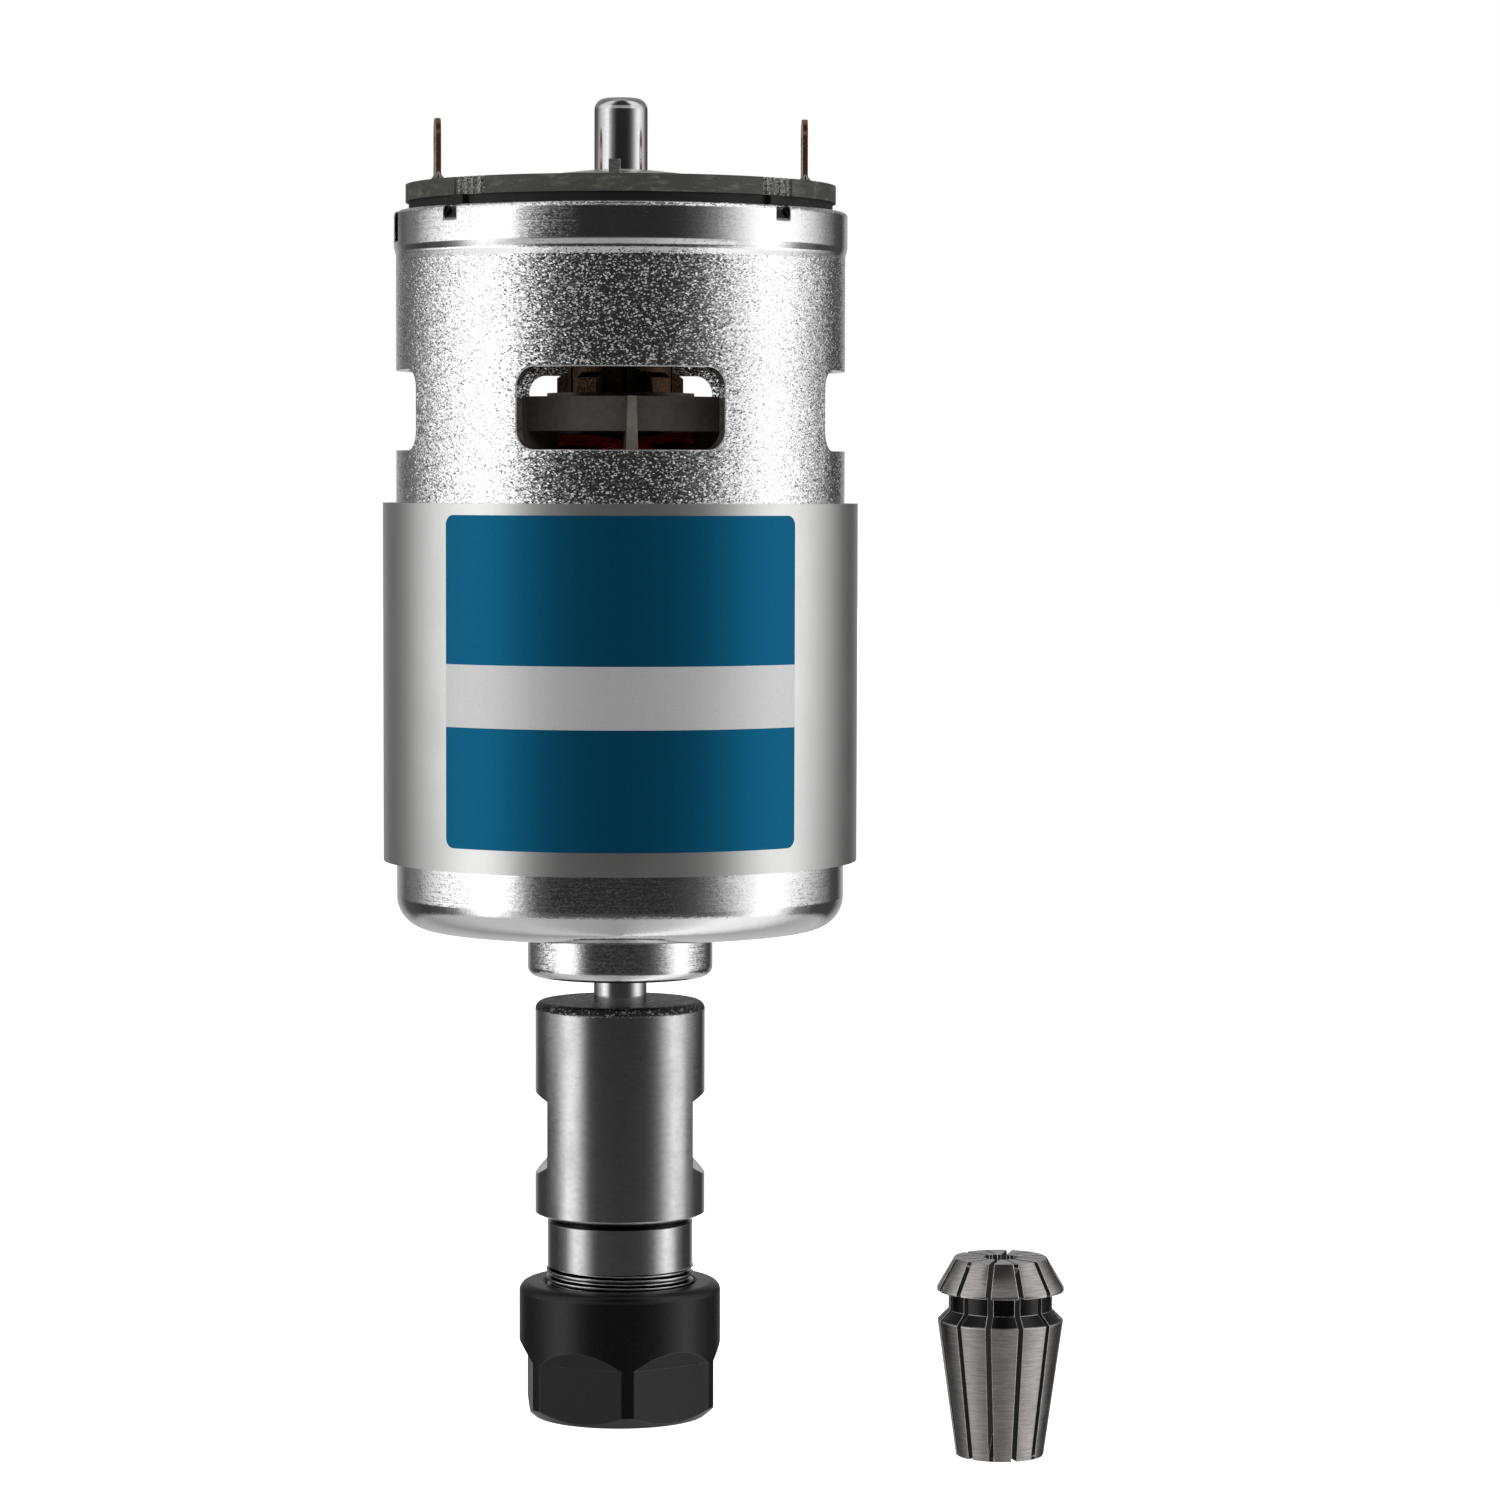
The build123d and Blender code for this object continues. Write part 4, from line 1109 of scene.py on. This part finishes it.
@dataclass
class Solder:
    """The solder that ties the terminals and the pin to the board.

    Args:
        board_top: height of the board's upper face.
        joints: x, y, half length, half width, height and turn in degrees of each joint.
    """

    board_top: float = 69.4
    joints: tuple[tuple[float, ...], ...] = (
        (17.15, 0.0, 0.55, 2.6, 1.1, 0.0),
        (-17.15, 0.0, 0.55, 2.6, 1.25, 5.0),
        (-0.6, -10.6, 0.75, 0.5, 0.55, 0.0),
    )

    def build(self) -> bpy.types.Object:
        """Make the joints.

        Each is a fillet whose outline is an oval round the blade. The outline shrinks upward on a
        hollow curve, from 0.9 mm outside the blade at the board to the blade itself at the top.

        Returns:
            The solder, as one piece.
        """
        around = np.linspace(0, 2 * np.pi, 40, endpoint=False)
        oval_x, oval_y = (np.sign(share) * np.abs(share) ** 0.7 for share in (np.cos(around), np.sin(around)))
        v = np.linspace(0, 1, 12)[:, None]
        shapes = []
        for x, y, half_x, half_y, rise, turn in self.joints:
            spare = 0.85 * (1 - v) ** 2.4 * (1 + 0.12 * np.sin(3 * around + x)[None])
            flat_x = (half_x * np.minimum(1, 1.4 - v) + spare) * oval_x
            flat_y = (half_y * np.minimum(1, 1.35 - v * 0.4) + spare) * oval_y
            angle = math.radians(turn)
            px = x + flat_x * math.cos(angle) - flat_y * math.sin(angle)
            py = y + flat_x * math.sin(angle) + flat_y * math.cos(angle)
            pz = np.broadcast_to(self.board_top - 0.02 + rise * v, px.shape)
            shapes.append(np.stack([px, py, pz], axis=2))
        return place(skins("board_solder", np.stack(shapes)), "housing", "zinc_steel", SOLDER.material())


class SkyGraph(Graph):
    """The nodes of the world, which light the spindle by the direction that a ray takes."""

    def __init__(self, world: bpy.types.World) -> None:
        """Open the world, and find a ray's azimuth, as a share of a full turn, and its rise.

        Args:
            world: the world to light.
        """
        self.open(world, "ShaderNodeOutputWorld")
        x, y, self.rise = self.split(self.node("ShaderNodeTexCoord", output="Generated"))
        turn = self.math("ARCTAN2", x, self.times(y, -1))
        self.share = self.plus(self.math("DIVIDE", turn, 2 * math.pi), 0.5)

    def band(self, stops: Stops) -> Socket:
        """Make the light all round at one height.

        Args:
            stops: pairs of azimuth in degrees and light.

        Returns:
            The socket of the light.
        """
        light = self.node("ShaderNodeValToRGB", {0: self.share})
        elements = light.node.color_ramp.elements
        while len(elements) < len(stops):
            elements.new(0.5)
        for element, (azimuth, level) in zip(elements, stops):
            element.position = azimuth / 360 + 0.5
            element.color = (level, level, level, 1)
        return light

    def by_height(self, low: Socket, high: Socket, start: float, end: float) -> Socket:
        """Two lights, changing from the first to the second as the direction rises from start to end."""
        return self.blend(self.spread(self.rise, start, end, interpolation_type="SMOOTHSTEP"), low, high)


@dataclass
class Studio:
    """The pale floor, the soft lights and the camera.

    Each light is a list of azimuth in degrees, 0 being ahead of the label, and of light as a share
    of the brightest panel.

    Args:
        tables: light from well below.
        low: light from a little below, which the chuck and the nut reflect.
        level: light at the motor's own height.
        high: light from a little above, which the shaft reflects.
        glints: light higher up, which only the leaning crystals reflect.
        top: light from above, which the collet's cone reflects.
        ceiling: light from straight above.
        brightest: strength of the brightest panel.
        floor_height: height of the floor, in millimetres.
        lens: length of the camera's lens, in millimetres.
        distance: distance of the camera from the shaft's axis.
        eye_height: height of the camera.
        down: how far the camera looks down, in degrees.
        turn: how far it is turned to its left.
        roll: how far it is rolled to its left.
    """

    tables: Stops = (
        (-180, 0.4), (-130, 0.22), (-90, 0.38), (-60, 0.38), (-30, 0.27), (0, 0.23), (30, 0.4), (60, 0.72),
        (90, 0.62), (120, 0.28), (180, 0.4),
    )
    low: Stops = (
        (-180, 0.4), (-160, 0.24), (-147, 0.055), (-120, 0.03), (-104, 0.06), (-95, 0.14), (-86, 0.5),
        (-76, 1.0), (-65, 0.8), (-54, 0.34), (-43, 0.09), (-33, 0.05), (0, 0.04), (34, 0.045), (45, 0.07),
        (55, 0.15), (66, 0.48), (78, 0.95), (91, 0.72), (104, 0.16), (120, 0.04), (147, 0.035),
        (160, 0.24), (180, 0.4),
    )
    level: Stops = (
        (-180, 0.4), (-165, 0.28), (-146, 0.07), (-126, 0.16), (-110, 0.6), (-97, 0.93), (-84, 1.0),
        (-73, 1.0), (-63, 0.97), (-57, 0.85), (-50, 0.25), (-44, 0.06), (-34, 0.018), (-19, 0.012),
        (0, 0.014), (14, 0.012), (24, 0.016), (32, 0.03), (40, 0.06), (48, 0.15), (57, 0.4), (66, 0.66),
        (76, 0.84), (88, 0.9), (99, 0.82), (113, 0.5), (126, 0.22), (139, 0.05), (152, 0.03), (162, 0.24),
        (180, 0.4),
    )
    high: Stops = (
        (-180, 0.4), (-165, 0.24), (-150, 0.05), (-120, 0.1), (-86, 0.48), (-59, 0.95), (-48, 0.56),
        (-35, 0.16), (-20, 0.016), (0, 0.012), (30, 0.016), (42, 0.06), (54, 0.2), (68, 0.65), (80, 0.95),
        (100, 0.65), (112, 0.4), (130, 0.08), (150, 0.04), (165, 0.24), (180, 0.4),
    )
    glints: Stops = (
        (-180, 0.25), (-125, 0.15), (-95, 0.65), (-50, 0.75), (-38, 0.33), (0, 0.28), (38, 0.33),
        (50, 0.75), (95, 0.65), (125, 0.15), (180, 0.25),
    )
    top: Stops = (
        (-180, 0.25), (-112, 0.12), (-95, 0.56), (-55, 0.6), (-42, 0.1), (-25, 0.025), (0, 0.025),
        (32, 0.025), (46, 0.12), (60, 0.75), (95, 0.75), (112, 0.12), (180, 0.25),
    )
    ceiling: Stops = (
        (-180, 0.3), (-60, 0.3), (-30, 0.03), (45, 0.03), (70, 0.3), (180, 0.3),
    )
    brightest: float = 1.45
    floor_height: float = -72.5
    lens: float = 115.4
    distance: float = 452.0
    eye_height: float = 41.65
    down: float = 3.165
    turn: float = -1.546
    roll: float = 0.14

    def build(self) -> None:
        """Set the floor, the sky, the lamps and the camera round the spindle."""
        self.floor()
        self.sky()
        self.lamps()
        self.camera()
        bpy.context.scene.view_settings.view_transform = "Standard"

    def floor(self) -> None:
        """Lay the floor deep enough for the collet nut to come off the chuck above it."""
        bpy.ops.mesh.primitive_plane_add(size=8, location=(0, 0, self.floor_height * MM))
        floor = bpy.context.object
        floor.name = "studio_floor"
        graph = Graph("studio_floor")
        diffuse = graph.node("ShaderNodeBsdfDiffuse", {"Color": (0.85, 0.85, 0.85, 1)})
        level = graph.spread(graph.reach(*graph.axes()[:2]), 60.0, 320.0, 0.62, 1.0)
        seen = graph.node("ShaderNodeLightPath", output="Is Camera Ray")
        glow = graph.node("ShaderNodeEmission", {"Strength": graph.times(seen, level)})
        graph.feed(graph.output.inputs["Surface"], graph.node("ShaderNodeAddShader", {0: diffuse, 1: glow}))
        floor.data.materials.append(graph.material)
        floor.visible_glossy = False

    def sky(self) -> None:
        """Surround the spindle with tall soft panels: dark ahead, bright at both sides, grey behind."""
        world = bpy.data.worlds.new("studio")
        bpy.context.scene.world = world
        graph = SkyGraph(world)
        walls = graph.band(self.tables)
        for stops, start, end in (
            (self.low, -0.42, -0.3), (self.level, -0.115, -0.085), (self.high, 0.058, 0.068),
            (self.glints, 0.12, 0.25), (self.top, 0.48, 0.6), (self.ceiling, 0.9, 0.97),
        ):
            walls = graph.by_height(walls, graph.band(stops), start, end)
        seen = graph.node("ShaderNodeLightPath", output="Is Camera Ray")
        light = {"Color": graph.blend(seen, walls, (1 / self.brightest,) * 3), "Strength": self.brightest}
        graph.feed(graph.output.inputs["Surface"], graph.node("ShaderNodeBackground", light))

    def lamps(self) -> None:
        """Hang a wide soft lamp above the front and a smaller one at each side, for the dull surfaces."""
        for name, spot, size, power in (
            ("front_top", (0.05, -0.55, 0.75), 0.7, 4.2),
            ("left_side", (-0.8, -0.15, 0.25), 0.4, 1.6),
            ("right_side", (0.8, -0.1, 0.2), 0.4, 1.6),
        ):
            data = bpy.data.lights.new(name, "AREA")
            data.shape = "SQUARE"
            data.size = size
            data.energy = power
            lamp = link(name, data)
            lamp.location = spot
            lamp.visible_glossy = False
            lamp.rotation_mode = "QUATERNION"
            lamp.rotation_quaternion = (Vector(spot) - Vector((0, 0, 0.02))).to_track_quat("Z", "Y")

    def camera(self) -> None:
        """Set the camera where the photograph was taken from: ahead of the label, looking slightly down."""
        data = bpy.data.cameras.new("camera")
        data.sensor_width = 36.0
        data.lens = self.lens
        data.clip_start = 0.01
        camera = link("camera", data)
        camera.location = (0.0, -self.distance * MM, self.eye_height * MM)
        look = Euler((math.radians(90 - self.down), 0.0, math.radians(self.turn))).to_quaternion()
        roll = Quaternion((0.0, 0.0, 1.0), math.radians(self.roll))
        camera.rotation_euler = (look @ roll).to_euler()
        bpy.context.scene.camera = camera


def dress_nodes() -> None:
    """Give every CAD node its finish."""
    for finish, names in NODE_FINISHES.items():
        material = finish.material()
        for name in names:
            dress(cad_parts[name], material)
            log.info("%s in %s", name, material.name)


def main() -> None:
    """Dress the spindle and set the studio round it."""
    logging.basicConfig(level=logging.INFO)
    dress_nodes()
    for assembly in (Label(), ThreadedChuck(), SlottedCollet(), WindingWires(), Solder(), Studio()):
        assembly.build()


if __name__ == "__main__":
    main()
